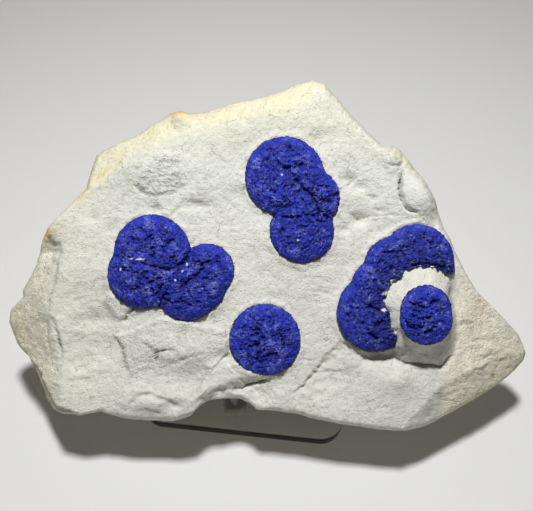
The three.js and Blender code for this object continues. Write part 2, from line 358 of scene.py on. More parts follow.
def walled_disc(cells: int, rings: int) -> tuple[Array, Array, Array]:
    """A disc lattice whose outer rings are kept for the wall.

    Args:
        cells: Cells across the disc.
        rings: Rings of cells in the wall.

    Returns:
        The share of the crest's radius, the angle, and how far down the wall each point is, from 0 to 1.
    """
    rho, angle = disc_places(cells)
    crest = 1.0 - 2.0 * rings / cells
    fall = np.clip((rho - crest) / (1.0 - crest), 0.0, 1.0)
    return np.minimum(1.0, rho / crest), angle, fall


def add_piece(name: str, points: Array, faces: list[list[int]], smooth: list[bool]) -> Piece:
    """Makes a mesh and puts it in the scene.

    Args:
        name: Name of the piece.
        points: Its vertices, in metres.
        faces: Vertex numbers of its faces.
        smooth: Whether each face is shaded smooth.

    Returns:
        The new object.
    """
    mesh = bpy.data.meshes.new(name)
    mesh.from_pydata(points.tolist(), [], faces)
    mesh.polygons.foreach_set("use_smooth", smooth)
    mesh.validate()
    piece = bpy.data.objects.new(name, mesh)
    bpy.context.scene.collection.objects.link(piece)
    return piece


def closed_body(name: str, top: Array, bottom: Array) -> Piece:
    """A closed mesh of a fine upper sheet and a lower sheet with half its cells.

    Args:
        name: Name of the piece.
        top: Points of the upper sheet, rows by columns by 3, in metres.
        bottom: Points of the lower sheet, with half as many cells each way.

    Returns:
        The new object, smooth shaded.
    """

    def indices(points: Array, first: int) -> Array:
        """Vertex numbers of a sheet."""
        return first + np.arange(points.shape[0] * points.shape[1]).reshape(points.shape[:2])

    def quads(grid: Array) -> Array:
        """Faces of a sheet, seen from above."""
        return np.stack([grid[:-1, :-1], grid[:-1, 1:], grid[1:, 1:], grid[1:, :-1]], -1).reshape(-1, 4)

    def rim(grid: Array) -> Array:
        """Vertex numbers round a sheet, anticlockwise."""
        return np.concatenate([grid[0, :-1], grid[:-1, -1], grid[-1, :0:-1], grid[:0:-1, 0]])

    upper = indices(top, 0)
    lower = indices(bottom, upper.size)
    fine, coarse = rim(upper), rim(lower)
    f0, f1, f2 = fine[0::2], fine[1::2], np.roll(fine, -2)[0::2]
    c1 = np.roll(coarse, -1)
    skirt = np.concatenate([np.stack(t, -1) for t in ((f0, coarse, f1), (f1, coarse, c1), (f1, c1, f2))])
    faces = quads(upper).tolist() + quads(lower)[:, ::-1].tolist() + skirt.tolist()
    points = np.concatenate([top.reshape(-1, 3), bottom.reshape(-1, 3)])
    return add_piece(name, points, faces, [True] * len(faces))


def write_mask(piece: Piece, name: str, top: Array, below: float = 0.0) -> None:
    """Writes a value for every vertex of a closed body.

    Args:
        piece: The closed body.
        name: Name by which its material reads the value.
        top: Values on the upper sheet.
        below: Value on the lower sheet.
    """
    values = np.full(len(piece.data.vertices), below, np.float32)
    values[: top.size] = top.ravel()
    piece.data.attributes.new(name, "FLOAT", "POINT").data.foreach_set("value", values)


@dataclass(frozen=True)
class FaceFrame:
    """Where the slab's face lies in the part's frame."""

    lean: float = math.radians(40.0)
    height: float = 68.3
    base_from_face: Point = (-6.0, 3.5)

    def origin(self) -> Array:
        """Middle of the face.

        Returns:
            The point, in metres.
        """
        low, high = (np.array(corner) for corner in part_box("stand_base"))
        middle = (low + high) / 2.0
        return np.array([*(middle[:2] - MM * np.array(self.base_from_face)), MM * self.height])

    def place(self, points: Array) -> Array:
        """Takes points from the face frame to the part's frame.

        Args:
            points: Points [u, v, w] in millimetres.

        Returns:
            The points in metres.
        """
        c, s = math.cos(self.lean), math.sin(self.lean)
        turn = np.array([[1.0, 0.0, 0.0], [0.0, c, -s], [0.0, s, c]])
        return self.origin() + MM * points @ turn.T


@dataclass(frozen=True)
class Facet:
    """A broken plane: a point on its ridge, its facing and slope in degrees, and the ridge's wear."""

    ridge: Point
    facing: float
    slope: float
    wear: float = 0.0

    def drop(self, u: Array, v: Array) -> Array:
        """How far the plane lies under the face.

        Args:
            u: First coordinate.
            v: Second coordinate.

        Returns:
            Depths, negative on the ridge's other side.
        """
        turn = math.radians(self.facing)
        beyond = (u - self.ridge[0]) * math.cos(turn) + (v - self.ridge[1]) * math.sin(turn)
        plain = beyond * math.tan(math.radians(self.slope))
        return self.wear * np.logaddexp(0.0, plain / self.wear) if self.wear else plain


@dataclass(frozen=True)
class Bevel:
    """A broken slope along a bent ridge; it falls away on the right of the ridge's path."""

    path: Path
    slope: float

    def drop(self, u: Array, v: Array) -> Array:
        """How far the slope lies under the face, negative on the ridge's other side."""
        far, side, _ = path_distance(self.path, u, v)
        return -far * side * math.tan(math.radians(self.slope))


@dataclass(frozen=True)
class Lump:
    """A swelling, or a pit where its height is negative."""

    at: Point
    size: Point
    height: float

    def rise(self, u: Array, v: Array) -> Array:
        """Height that the lump adds."""
        across, up = (u - self.at[0]) / self.size[0], (v - self.at[1]) / self.size[1]
        return self.height * np.exp(-(across**2) - up**2)


@dataclass(frozen=True)
class Ledge:
    """A layer left standing: its outline, height, the width of its broken edge and where it thins out."""

    outline: Path
    height: float
    edge: float = 0.5
    thin: float = -90.0
    full: float = -80.0

    def rise(self, u: Array, v: Array) -> Array:
        """Height that the layer adds."""
        body = smoothstep(self.edge, -self.edge, polygon_distance(self.outline, u, v))
        return self.height * body * smoothstep(self.thin, self.full, v)


@dataclass(frozen=True)
class Crack:
    """A crack or broken step along a path.

    It has a depth and a width, the height of the step on its left and how far back that step reaches. A
    whole crack runs on without gaps.
    """

    path: Path
    depth: float
    width: float
    step: float = 0.0
    reach: float = 6.0
    whole: bool = False

    def rise(self, u: Array, v: Array) -> Array:
        """Height that the crack takes and its raised side adds.

        Args:
            u: First coordinate.
            v: Second coordinate.

        Returns:
            Heights, negative in the crack.
        """
        far, side, place = path_distance(self.path, u, v)
        fade = np.sqrt(np.clip(4.0 * place * (1.0 - place), 0.0, 1.0))
        line = -self.depth * fade * np.exp(-((far / self.width) ** 2))
        bank = self.step * fade * smoothstep(-self.width, self.width, far * side) * np.exp(-far / self.reach)
        return line + bank


@dataclass(frozen=True)
class Lobes:
    """Overlapping discs, each with its middle and radius, and the steps over which they blend."""

    discs: tuple[tuple[float, float, float], ...]
    blend: int = 12

    def reach_from(self, at: Point, angle: Array) -> Array:
        """Distance from a point to the far edge of the discs.

        Args:
            at: The point.
            angle: Directions, in radians.

        Returns:
            The distance along each direction.
        """
        turns = np.radians(np.arange(LOBE_STEPS) * 360.0 / LOBE_STEPS)
        far = np.zeros_like(turns)
        for u, v, radius in self.discs:
            du, dv = u - at[0], v - at[1]
            along = du * np.cos(turns) + dv * np.sin(turns)
            across = du * np.sin(turns) - dv * np.cos(turns)
            half = np.sqrt(np.maximum(0.0, radius**2 - across**2))
            far = np.maximum(far, np.where(np.abs(across) < radius, along + half, 0.0))
        far = np.interp(turns, turns[far > 0], far[far > 0], period=FULL_TURN)
        steps = np.arange(-self.blend, self.blend + 1)
        weights = np.exp(-((2.0 * steps / self.blend) ** 2))
        even = sum(weight * np.roll(far, step) for step, weight in zip(steps, weights)) / weights.sum()
        return np.interp(np.mod(angle, FULL_TURN), turns, even, period=FULL_TURN)

    def beyond(self, u: Array, v: Array) -> Array:
        """How far outside the discs each point lies, negative inside."""
        return np.min([np.hypot(u - cu, v - cv) - radius for cu, cv, radius in self.discs], axis=0)


@dataclass(frozen=True)
class Break:
    """The hole broken through the right-hand sun: radii round a point, by direction in degrees."""

    at: Point = (55.7, -19.2)
    edge: Table = (
        (51, 15.7), (73, 14.9), (95, 15.3), (116, 15.4), (128, 13.8), (141, 15.2), (160, 14.8), (173, 14.3),
        (182, 12.7), (198, 12.6), (208, 14.2), (214, 12.5), (222, 13.6), (230, 15.2), (237, 16.2),
    )

    def radius(self, degrees: Array) -> Array:
        """Radius of the hole in each direction."""
        turns, radii = zip(*self.edge)
        return np.interp(degrees, turns, radii)


@dataclass(frozen=True)
class Boss:
    """The clay boss in the broken sun: a flat top, a collar up to the break and a steep lower flank.

    Its feet and lip are given by direction in degrees; seam is where the last foot meets the break. The brow
    is how far inside the sun's edge the top ends.
    """

    hole: Break = Break()
    sun: Lobes = Lobes(((55.0, -19.0, 8.9), (55.1, -21.8, 9.1)))
    height: float = 9.3
    feet: Table = (
        (250, 19.8), (264, 19.9), (275, 19.9), (289, 21.3), (302, 19.7), (315, 16.5), (340, 12.8),
        (360, 11.4), (380, 10.8), (391, 11.0), (401, 13.6), (404, 14.4),
    )
    seam: Point = (44.0, 14.4)
    margin: float = 0.3
    flank: Relief = Relief(0.5, 4.0, 4.0, octaves=4)
    brow: float = 0.8
    curve: float = 1.15
    foot_width: float = 2.2
    lip_heights: Table = (
        (44, 0.8), (58, 2.2), (75, 4.3), (234, 4.5), (246, 0.0), (372, 0.0), (392, 0.6), (404, 0.8),
    )

    def rise(self, u: Array, v: Array, noise: Noise) -> Array:
        """Height of the boss over the face.

        Args:
            u: First coordinate.
            v: Second coordinate.
            noise: Noise that roughens its flank.

        Returns:
            Heights.
        """
        du, dv = u - self.hole.at[0], v - self.hole.at[1]
        angle = np.arctan2(dv, du)
        degrees = np.mod(np.degrees(angle) - self.seam[0], 360.0) + self.seam[0]
        edge = np.interp(degrees, *zip(*((self.seam,) + self.hole.edge + self.feet))) + self.margin
        far = np.hypot(du, dv) - self.flank.waves(noise, u, v)
        brow = self.sun.reach_from(self.hole.at, angle) - self.brow
        share = np.clip((far - brow) / (edge - brow), 0.0, 1.0)
        foot = np.interp(degrees, *zip(*self.lip_heights))
        body = foot + (self.height - foot) * (1.0 - share) ** self.curve
        return body * smoothstep(1.0, 0.0, (far - edge + 0.1) / self.foot_width)


class Side(IntEnum):
    """Rows of the slab's facets that have a colour and a roughness of their own."""

    LEFT_BEVEL = 0
    UPPER_RIGHT = 3
    RIGHT_BREAK = 5


@dataclass
class Slab:
    """The claystone slab, with its facets, lumps, ledges, cracks and the clay boss."""

    node: str = "claystone_slab"
    thickness: float = 30.0
    cells: int = 280
    wall_rings: int = 12
    boss: Boss = Boss()
    suns: tuple[Lobes, ...] = ()
    outline: Path = (
        (98, -36.5), (95, -30), (87.5, -22.5), (76.5, -13), (70, -2), (65, 9), (61, 21.5), (55.5, 31),
        (49, 39), (46.5, 40.5), (43, 39.2), (37.5, 44.5), (28.5, 54.5), (21, 63), (17, 65.5), (11, 63),
        (0, 58.5), (-14, 56), (-22, 53), (-27.5, 52), (-31.5, 53.5), (-36, 53), (-40, 49.5), (-48, 45),
        (-58, 41), (-63.5, 37.5), (-65, 30.5), (-65.5, 24.5), (-70.5, 18.5), (-77.5, 11.5), (-82, 6),
        (-85.5, -3), (-91.5, -13), (-91, -15.5), (-97, -20.5), (-98.5, -25.5), (-95.5, -33), (-87, -43.5),
        (-79, -52), (-73, -56.5), (-67, -57.5), (-59.5, -56), (-53, -58.5), (-42, -60), (-34, -60),
        (-27.5, -58), (-24.5, -54.5), (-21, -52), (-17, -51.3), (-10.5, -52), (-6, -53.5), (-3.5, -55.5),
        (8.5, -56.5), (16.5, -58.7), (28, -60.8), (40, -62.5), (50.5, -63.5), (59, -62), (67, -59),
        (75, -55), (84, -51), (92.5, -45.5), (97.5, -40.5),
    )
    facets: tuple[Facet | Bevel, ...] = (
        Bevel(
            ((-84, 16), (-78, 7.5), (-74.5, 4), (-74, 1), (-75, -3.5), (-76.5, -10.5), (-78, -16),
             (-78, -20.5), (-76.5, -23), (-75.5, -28), (-74, -32.5), (-73, -37), (-73, -44.5), (-74.5, -64)),
            38,
        ),
        Facet((-50, 32), 124, 40), Facet((-10, 49), 106, 42, 1.5), Facet((31, 47.5), 46, 48, 0.8),
        Facet((58, 18), 28, 48, 0.8), Facet((67, -20), -8, 21, 0.5), Facet((57, -52), -41, 32),
    )
    back_facets: tuple[Facet, ...] = (
        Facet((-38, 0), 168, 17), Facet((30, 22), 52, 20), Facet((44, -20), -28, 15),
        Facet((-10, -34), -104, 22),
    )
    lumps: tuple[Lump, ...] = (
        Lump((46, 35), (5, 4), 2.1), Lump((56, 21), (7, 9), 3.6), Lump((46, -50), (17, 12), 2.2),
        Lump((47, -44), (5, 4), 1.8), Lump((-34, -53), (13, 7), 2.4), Lump((-31.5, 51), (5, 4), 4.5),
        Lump((-45, 30), (9, 7), 1.0), Lump((29.5, 27), (3.0, 1.9), -1.6),
        Lump((33.5, 24.5), (2.6, 1.8), -1.2), Lump((38, 20.5), (1.5, 1.2), -0.7),
        Lump((33.5, 13), (3.2, 2.6), -2.2), Lump((28, 9.5), (2, 1.5), -1.0),
        Lump((40.5, 16), (1.6, 1), -0.7), Lump((24, 43), (5, 3), -0.9), Lump((17.5, 41), (4, 2.5), -0.7),
        Lump((-9, 22), (5, 4), -1.0), Lump((-25, 18), (5, 2.2), -1.6), Lump((-40, 16.5), (1.6, 1.6), -1.0),
        Lump((-56, 9.5), (4, 3), -0.9), Lump((-62, 13.5), (2, 2), -0.7),
        Lump((-77.6, 2.6), (2.6, 4.2), -2.4), Lump((-80, -3.5), (3, 6), -1.1),
        Lump((-62, -23), (6, 3), -1.3), Lump((-63, -33), (11, 13), -3.0), Lump((-5, -50), (8, 5), -2.0),
        Lump((22, -42), (10, 8), -1.2), Lump((-42, -53.5), (6, 3), 1.3),
        Lump((-33.5, -53.8), (3.4, 2.2), -2.2), Lump((-39, -62), (11, 8), -2.6),
        Lump((-17, -35), (2, 1.5), -0.8), Lump((-20, -39), (1.3, 1.3), 0.8),
        Lump((-16, -38.5), (1.3, 1.2), 0.8), Lump((62, -36), (3, 3), 0.8),
        Lump((60.5, 13.5), (4.0, 4.0), -2.0), Lump((5, -50), (5, 3), 0.7), Lump((41, -36), (7, 2.4), -2.6),
    )
    ledges: tuple[Ledge, ...] = (
        Ledge(
            ((-54.5, -28.5), (-51.5, -33), (-50.5, -38.5), (-48.5, -43), (-38, -45.5), (-22, -44),
             (-14, -34.5), (-15, -26), (-38, -22), (-48, -26.5)),
            1.7, thin=-44.5, full=-33.0,
        ),
        Ledge(
            ((-25.5, -51.5), (-19.5, -48.3), (-11.5, -45.8), (-3.5, -43.8), (1, -42.5), (-6, -36),
             (-20, -40)),
            2.2, 2.1,
        ),
    )
    patches: tuple[Ledge, ...] = (
        Ledge(
            ((-46.5, 25.5), (-44.5, 31), (-40.5, 34), (-38, 37), (-31, 36.5), (-31.5, 31), (-29, 26),
             (-34.5, 22.5), (-42, 21.5)),
            0.2, 1.2,
        ),
        Ledge(((-58.5, -16), (-57, -14), (-50, -16), (-46, -20), (-52.5, -23.5), (-55, -21)), 0.9, 1.5),
    )
    cracks: tuple[Crack, ...] = (
        Crack(((-48.5, 26.5), (-46.3, 24.3), (-43.5, 22), (-40.5, 21)), 1.0, 0.5),
        Crack(((-34.5, 13.5), (-31, 18), (-29.5, 20.5)), 0.5, 0.5, 0.5),
        Crack(((-43.7, -30.9), (-38.8, -34.5), (-39.6, -38.7)), 1.1, 0.45, 0.3, whole=True),
        Crack(((-38.8, -34.5), (-35.5, -33.4), (-33, -34)), 0.9, 0.45, 0.3, whole=True),
        Crack(((-36, -39.5), (-31, -37.5), (-28, -36), (-22, -34.8)), 0.8, 0.5, 0.6),
        Crack(((-46.5, -18), (-49.5, -21), (-51.5, -24)), 1.7, 0.42, whole=True),
        Crack(
            ((-74.6, 5), (-74, 1), (-75, -3.5), (-76.5, -10.5), (-78, -16), (-78, -20)),
            2.0, 0.55, whole=True,
        ),
        Crack(
            ((48.5, 30.5), (48, 27), (47.5, 23.5), (48.5, 19.5), (50, 17), (53.5, 15)),
            3.2, 0.5, 0.7, 3.0, whole=True,
        ),
        Crack(((41, 35), (41.8, 33.2), (44.5, 31.8), (47.5, 32), (48.6, 34)), 0.6, 0.4, 0.3, 3.0),
        Crack(((49.5, 37), (47.8, 31.5), (49.5, 29.5)), 1.2, 0.8),
        Crack(((33.5, 13.5), (42.5, 14.5), (50.5, 14.5)), 0.4, 0.4),
        Crack(((29, 16), (34, 12), (36.5, 14.5)), 0.9, 0.6),
        Crack(
            ((31, -32.6), (28.5, -31.5), (26.5, -31), (21.5, -36.5), (17.5, -42), (13, -47), (8, -49.5)),
            0.5, 0.7, -1.7,
        ),
        Crack(((17.5, -42), (26, -41.5), (29, -40.5), (35, -38.5)), 0.3, 0.6, 0.7),
        Crack(
            ((2.5, -43.6), (-3.5, -44.5), (-11.5, -46.6), (-19.5, -49), (-26, -52.3)),
            0.5, 1.7, -1.5, 8.0,
        ),
        Crack(((-10.5, -48.2), (-6, -46.7), (-3, -45.7), (1, -44.4)), 1.3, 0.5, whole=True),
        Crack(((-77, -21.5), (-76, -25), (-74.3, -32), (-73, -38.5)), 1.9, 0.5, 0.7, whole=True),
        Crack(((-79, -23), (-79.2, -31.5), (-78, -34.5)), 1.1, 0.6, 0.9),
        Crack(((-72, -44.5), (-64.5, -44), (-60.5, -42.5), (-55, -40)), 0.2, 0.8, 1.1),
        Crack(((79, -38.5), (81, -36.2), (84.5, -36.4), (87, -35)), 0.8, 0.5, 0.8, 4.0),
        Crack(
            ((70, -46), (73.5, -44.5), (75.5, -41.5), (79.5, -41), (82.5, -38.6), (87, -38.8), (90, -37),
             (93.5, -38.3)),
            0.5, 0.6, 1.1, 5.0,
        ),
        Crack(((67, -25.3), (72, -24), (76, -24)), 0.8, 0.6, 1.0, 4.0),
        Crack(((2.3, -47.5), (0.5, -51.5), (-1.2, -54.5)), 0.6, 0.4),
        Crack(((16, -12.6), (20.5, -13.5), (25.5, -15.3)), 0.6, 0.4),
        Crack(
            ((-51, -55.5), (-48, -52), (-45, -50), (-41.5, -49.5), (-38, -51), (-31, -53.2)),
            1.2, 0.8, 0.9, 3.0,
        ),
        Crack(((44.5, -36), (49.5, -38.2), (57.5, -39.2), (62.5, -40), (66.5, -35.5)), 2.3, 0.8, whole=True),
    )
    cream_edge: Path = (
        (-68, 21), (-64, 25), (-58.5, 30), (-55.5, 33), (-51.5, 37.5), (-46.5, 40), (-39, 42.5),
        (-31.5, 46), (-24, 48), (-10, 50.5), (5, 53), (16, 58), (22, 68),
    )
    chip_edge: Path = (
        (-92, -34.5), (-87.2, -39), (-83.2, -42.6), (-80.6, -47.9), (-78.6, -50.5), (-75.3, -54.1),
        (-71, -55), (-66, -57),
    )
    chip_shelf: Table = (
        (203, 0.0), (208.4, 1.8), (213, 4.0), (215.5, 4.6), (217, 2.6), (219, 1.4), (221, 0.0),
    )
    pale_edge: Path = ((89, -25.5), (93.5, -28.5), (97, -33.5))
    rust_spots: tuple[Lump, ...] = (
        Lump((-31.5, 53), (5.5, 2.2), 1.0), Lump((-79.5, 9), (2.6, 4.0), 1.0),
        Lump((-66, 24), (1.6, 5.0), 0.6), Lump((79, -13), (1.8, 9.0), 0.35),
    )
    fresh_breaks: tuple[Fade, ...] = (Fade(1.0, -1.0), Fade(1.0, -1.0, 0.7), Fade(1.0, -1.0, 0.45))
    rough_bevel: Fade = Fade(0.2, 3.0, 0.6)
    swell_height: float = 0.7
    lip_height: float = 0.75
    lip_width: float = 1.2
    lip_out: float = 0.5
    lip_from_boss: Fade = Fade(14.0, 18.0)
    lip_from_right: Fade = Fade(61.0, 52.0)
    chip_step: float = 1.4
    chip_wall: Fade = Fade(0.0, 0.8)
    chip_slope: float = 0.6
    chip_ends: tuple[Fade, Fade] = (Fade(0.0, 0.15), Fade(1.0, 0.85))
    bends: tuple[Relief, Relief] = (Relief(0.5, 6.0, 6.0), Relief(0.5, 6.0, 6.0, (40.0, 0.0)))
    jags: tuple[Relief, Relief] = (Relief(0.3, 1.6, 1.6), Relief(0.3, 1.6, 1.6, (31.0, 0.0)))
    gaps: Relief = Relief(1.0, 3.0, 3.0, (9.0, 0.0))
    torn_least: float = 0.45
    torn: Fade = Fade(-0.35, 0.25, 0.55)
    broad: Relief = Relief(0.5, 10.0, 10.0, (3.0, 0.0))
    worn: Relief = Relief(0.14, 3.0, 3.0, (0.0, 8.0), gain=0.6)
    shards: Relief = Relief(0.3, 3.0, 3.0)
    crumb: Relief = Relief(1.0, 1.7, 1.7)
    crumb_height: float = 0.25
    patch_crumb: float = 0.4
    patch_edge: Fade = Fade(0.7, -0.7)
    pores: Relief = Relief(0.2, 2.3, 2.3, (11.0, 0.0))
    pore_edge: Fade = Fade(0.3, 0.1)
    hairs: Relief = Relief(0.3, 13.0, 13.0, (3.0, 0.0))
    hair_edge: Fade = Fade(0.05, 0.0)
    hair_gaps: Relief = Relief(1.0, 9.0, 9.0, (0.0, 4.0))
    hair_ends: Fade = Fade(0.0, 0.5)
    rim_wear: float = 2.2
    rim_fray: Fray = Fray(1.6, 9.0, (0.0, 40.0))
    rim_width: float = 2.6
    edge_fray: Fray = Fray(0.4, 7.0, (20.0, 0.0), 5, 0.6)
    side_least: float = 3.0
    side_foot: float = -12.0
    side_tuck: float = 1.5
    side_shards: float = 1.2
    side_shard_cells: Point = (10.0, 2.4)
    side_shard_tilt: float = 0.6
    side_slant: Point = (0.9, 0.6)
    side_crumb: float = 0.9
    side_crumb_cells: Point = (18.0, 2.5)
    back_inset: float = 7.0
    back_waver: float = 1.5
    back_brow: float = -17.0
    back_curl: float = 5.0
    back_swell: float = 0.9
    back_shards: Relief = Relief(0.7, 9.0, 6.0)
    back_crumb: Relief = Relief(0.5, 5.0, 5.0, octaves=4)
    stain_patches: Relief = Relief(0.5, 9.0, 9.0, octaves=4)
    cream_waver: float = 4.0
    cream_inset: float = 3.0
    cream_start: float = -2.0
    cream_full: Point = (2.5, 4.0)
    cream_break: Fade = Fade(1.0, 3.5, 0.7)
    cream_top: Fade = Fade(25.0, 55.0, 0.3)
    cream_left: Fade = Fade(-45.0, -70.0, 0.12)
    buff_break: Fade = Fade(-0.3, 1.2, 0.85)
    buff_below: Fade = Fade(24.0, 4.0)
    # Shares of the buff, which the finish paints lighter to stand in for light on these faces.
    beige_bevel: Fade = Fade(0.2, 3.0, 0.7)
    pale_near: Fade = Fade(4.0, 1.0, 0.7)
    side_stain: Fade = Fade(-6.5, -11.0)
    side_beige: float = 0.8
    rust_width: float = 0.8
    rust_along: Fade = Fade(0.45, 0.1, 0.5)
    rust_patches: Fade = Fade(0.3, 0.7)
    # Painted shade in hollows: its strength, and how often the face is blurred to find them.
    hollow_gain: float = 1.4
    hollow_blur: int = 3
    # How much painted shade darkens the chipped lower left edge.
    chip_shade: Fade = Fade(0.2, 0.9, 0.45)

    @staticmethod
    def swell(u: Array, v: Array) -> Array:
        """Slow waves of the worn stone, about 1 high."""
        broad = 0.6 * np.sin(u / 11.0 + 1.0) * np.cos(v / 9.0)
        return broad + 0.4 * np.sin((u + 2.0 * v) / 8.5) * np.cos((v - u) / 13.0)

    @staticmethod
    def facet_drop(facets: tuple[Facet, ...], u: Array, v: Array) -> Array:
        """How far a set of facets has taken a surface down."""
        return np.maximum(0.0, np.max([facet.drop(u, v) for facet in facets], axis=0))

    def plain_face(self, u: Array, v: Array) -> Array:
        """Height of the face without its fine relief and boss.

        Args:
            u: First coordinate.
            v: Second coordinate.

        Returns:
            Heights.
        """
        forms = sum(part.rise(u, v) for part in self.lumps + self.ledges)
        return self.swell_height * self.swell(u, v) + forms - self.facet_drop(self.facets, u, v)

    def lip(self, u: Array, v: Array) -> Array:
        """Height of the clay drawn up round the suns.

        Args:
            u: First coordinate.
            v: Second coordinate.

        Returns:
            Heights.
        """
        far = np.min([lobes.beyond(u, v) for lobes in self.suns], axis=0)
        clear = self.lip_from_boss.of(np.hypot(u - self.boss.hole.at[0], v - self.boss.hole.at[1]))
        bank = np.exp(-(((far - self.lip_out) / self.lip_width) ** 2))
        return self.lip_height * clear * self.lip_from_right.of(u) * bank

    def chip(self, u: Array, v: Array) -> Array:
        """How far each point lies beyond the chipped lower left edge.

        Args:
            u: First coordinate.
            v: Second coordinate.

        Returns:
            Distances, 0 on the face's side of the edge.
        """
        far, side, place = path_distance(self.chip_edge, u, v)
        first, last = self.chip_ends
        return np.maximum(0.0, -far * side) * first.of(place) * last.of(place)

    def roughness(self, u: Array, v: Array) -> Array:
        """How rough the break is.

        Args:
            u: First coordinate.
            v: Second coordinate.

        Returns:
            Values from 0 on worn clay to 1 on a fresh break.
        """
        sides = (self.facets[Side.LEFT_BEVEL], self.facets[Side.RIGHT_BREAK])
        shares = [self.rough_bevel.of(self.facet_drop(sides, u, v))]
        for part, fresh in zip(self.patches + self.ledges[:1], self.fresh_breaks):
            shares.append(fresh.of(polygon_distance(part.outline, u, v)))
        return np.clip(np.max(shares, axis=0), 0.0, 1.0)

    def face(self, u: Array, v: Array) -> Array:
        """Height of the face with all its relief.

        Args:
            u: First coordinate.
            v: Second coordinate.

        Returns:
            Heights.
        """
        noise = Noise(FACE_SEED)
        wu, wv = (
            place + bend.waves(noise, u, v) + jag.ripple(noise, u, v)
            for place, bend, jag in zip((u, v), self.bends, self.jags)
        )
        torn = self.torn_least + self.torn.of(self.gaps.ripple(noise, u, v))
        height = self.plain_face(wu, wv) + sum(part.rise(wu, wv) for part in self.patches)
        height = height + sum((1.0 if part.whole else torn) * part.rise(wu, wv) for part in self.cracks)
        height = height + self.boss.rise(u, v, noise) + torn * self.lip(u, v)
        chipped = self.chip(wu, wv)
        height = height - self.chip_step * self.chip_wall.of(chipped) - self.chip_slope * chipped

        patch = self.patch_edge.of(polygon_distance(self.patches[0].outline, wu, wv))
        crumb = (self.crumb_height + self.patch_crumb * patch) * self.crumb.waves(noise, u, v)
        broken = self.shards.shards(noise, wu, wv) + crumb
        height = height + self.broad.waves(noise, u, v) + self.worn.waves(noise, u, v)
        height = height + self.roughness(wu, wv) * broken
        pores = self.pores.height * self.pore_edge.of(noise.cells(*self.pores.spaced(u, v))[0])
        near, after = noise.cells(*self.hairs.spaced(wu, wv))[:2]
        hairs = self.hairs.height * self.hair_edge.of(after - near)
        return height - pores - hairs * self.hair_ends.of(self.hair_gaps.ripple(noise, u, v))

    def top_points(self) -> Array:
        """Points of the upper sheet: the face and the upper part of the side.

        Returns:
            The points, in the face frame.
        """
        noise = Noise(SIDE_SEED)
        share, angle, fall = walled_disc(self.cells, self.wall_rings)
        shelf = np.interp(np.degrees(np.mod(angle, FULL_TURN)), *zip(*self.chip_shelf))
        edge = outline_reach(self.outline, angle) + self.edge_fray.along(noise, angle) + shelf
        u, v = share * edge * np.cos(angle), share * edge * np.sin(angle)
        inward = (1.0 - share) * edge
        worn = self.rim_wear + self.rim_fray.along(noise, angle)
        w = self.face(u, v) - worn * np.maximum(0.0, 1.0 - inward / self.rim_width) ** 2
        foot = np.minimum(w - self.side_least, self.side_foot + self.swell(v, u))
        (around, down), (lean, waver) = self.side_shard_cells, self.side_slant
        slant, depth = angle * around + lean * fall, fall * down + waver * np.sin(3.0 * angle)
        rough = self.side_shards * noise.blades(slant, depth, self.side_shard_tilt)
        around, down = self.side_crumb_cells
        rough = rough + self.side_crumb * noise.layered(angle * around, fall * down)
        shrink = 1.0 - fall * (self.side_tuck + rough * np.sin(math.pi * fall)) / edge
        return np.stack([u * shrink, v * shrink, w + (foot - w) * fall], -1)

    def back_points(self) -> Array:
        """Points of the lower sheet, the slab's back.

        Returns:
            The points, in the face frame.
        """
        noise = Noise(SIDE_SEED)
        rho, angle = disc_places(self.cells // 2)
        edge = outline_reach(self.outline, angle) - self.back_inset + self.back_waver * np.sin(5.0 * angle)
        u, v = rho * edge * np.cos(angle), rho * edge * np.sin(angle)
        worn = self.back_curl * rho**5 + self.facet_drop(self.back_facets, u, v)
        swell = self.back_swell * self.swell(1.3 * v, u)
        w = np.minimum(self.back_brow, worn - self.thickness + swell)
        w = w + self.back_shards.shards(noise, u, v) + self.back_crumb.waves(noise, u, v)
        return np.stack([u, v, w], -1)

    def stains_and_painted_light(self, u: Array, v: Array, w: Array) -> dict[str, tuple[Array, float]]:
        """Where the stone is stained or rough, and where shade is painted into its hollows and its chipped
        lower left edge.

        Args:
            u: First coordinate.
            v: Second coordinate.
            w: Height.

        Returns:
            The values on the upper sheet and the one on the back, by the name that the finish reads.
        """
        patchy = 0.5 + self.stain_patches.waves(Noise(STAIN_SEED), u, v)
        far, out, along = path_distance(self.cream_edge, u, v)
        beyond = far * out + self.cream_waver * (patchy - 0.5) + self.cream_inset
        nearest, spread = self.cream_full
        cream = smoothstep(self.cream_start, nearest + spread * along, beyond)
        cream = cream + self.cream_break.of(self.facets[Side.UPPER_RIGHT].drop(u, v))
        cream = cream + self.cream_top.of(v) + self.cream_left.of(u)
        buff = self.buff_break.of(self.facets[Side.RIGHT_BREAK].drop(u, v)) * self.buff_below.of(v)
        # Buff on the bevels, breaks and sides: a real stain, painted lighter to stand in for light falling
        # on these faces.
        beige_with_painted_light = np.maximum(self.beige_bevel.of(self.facets[Side.LEFT_BEVEL].drop(u, v)), buff)
        beige_with_painted_light = beige_with_painted_light * (1.0 - self.pale_near.of(path_distance(self.pale_edge, u, v)[0]))
        side = self.side_stain.of(w)
        rust = np.exp(-((far / self.rust_width) ** 2)) * self.rust_along.of(along)
        rust = rust * self.rust_patches.of(patchy)
        for spot in self.rust_spots:
            rust = np.maximum(rust, spot.rise(u, v))
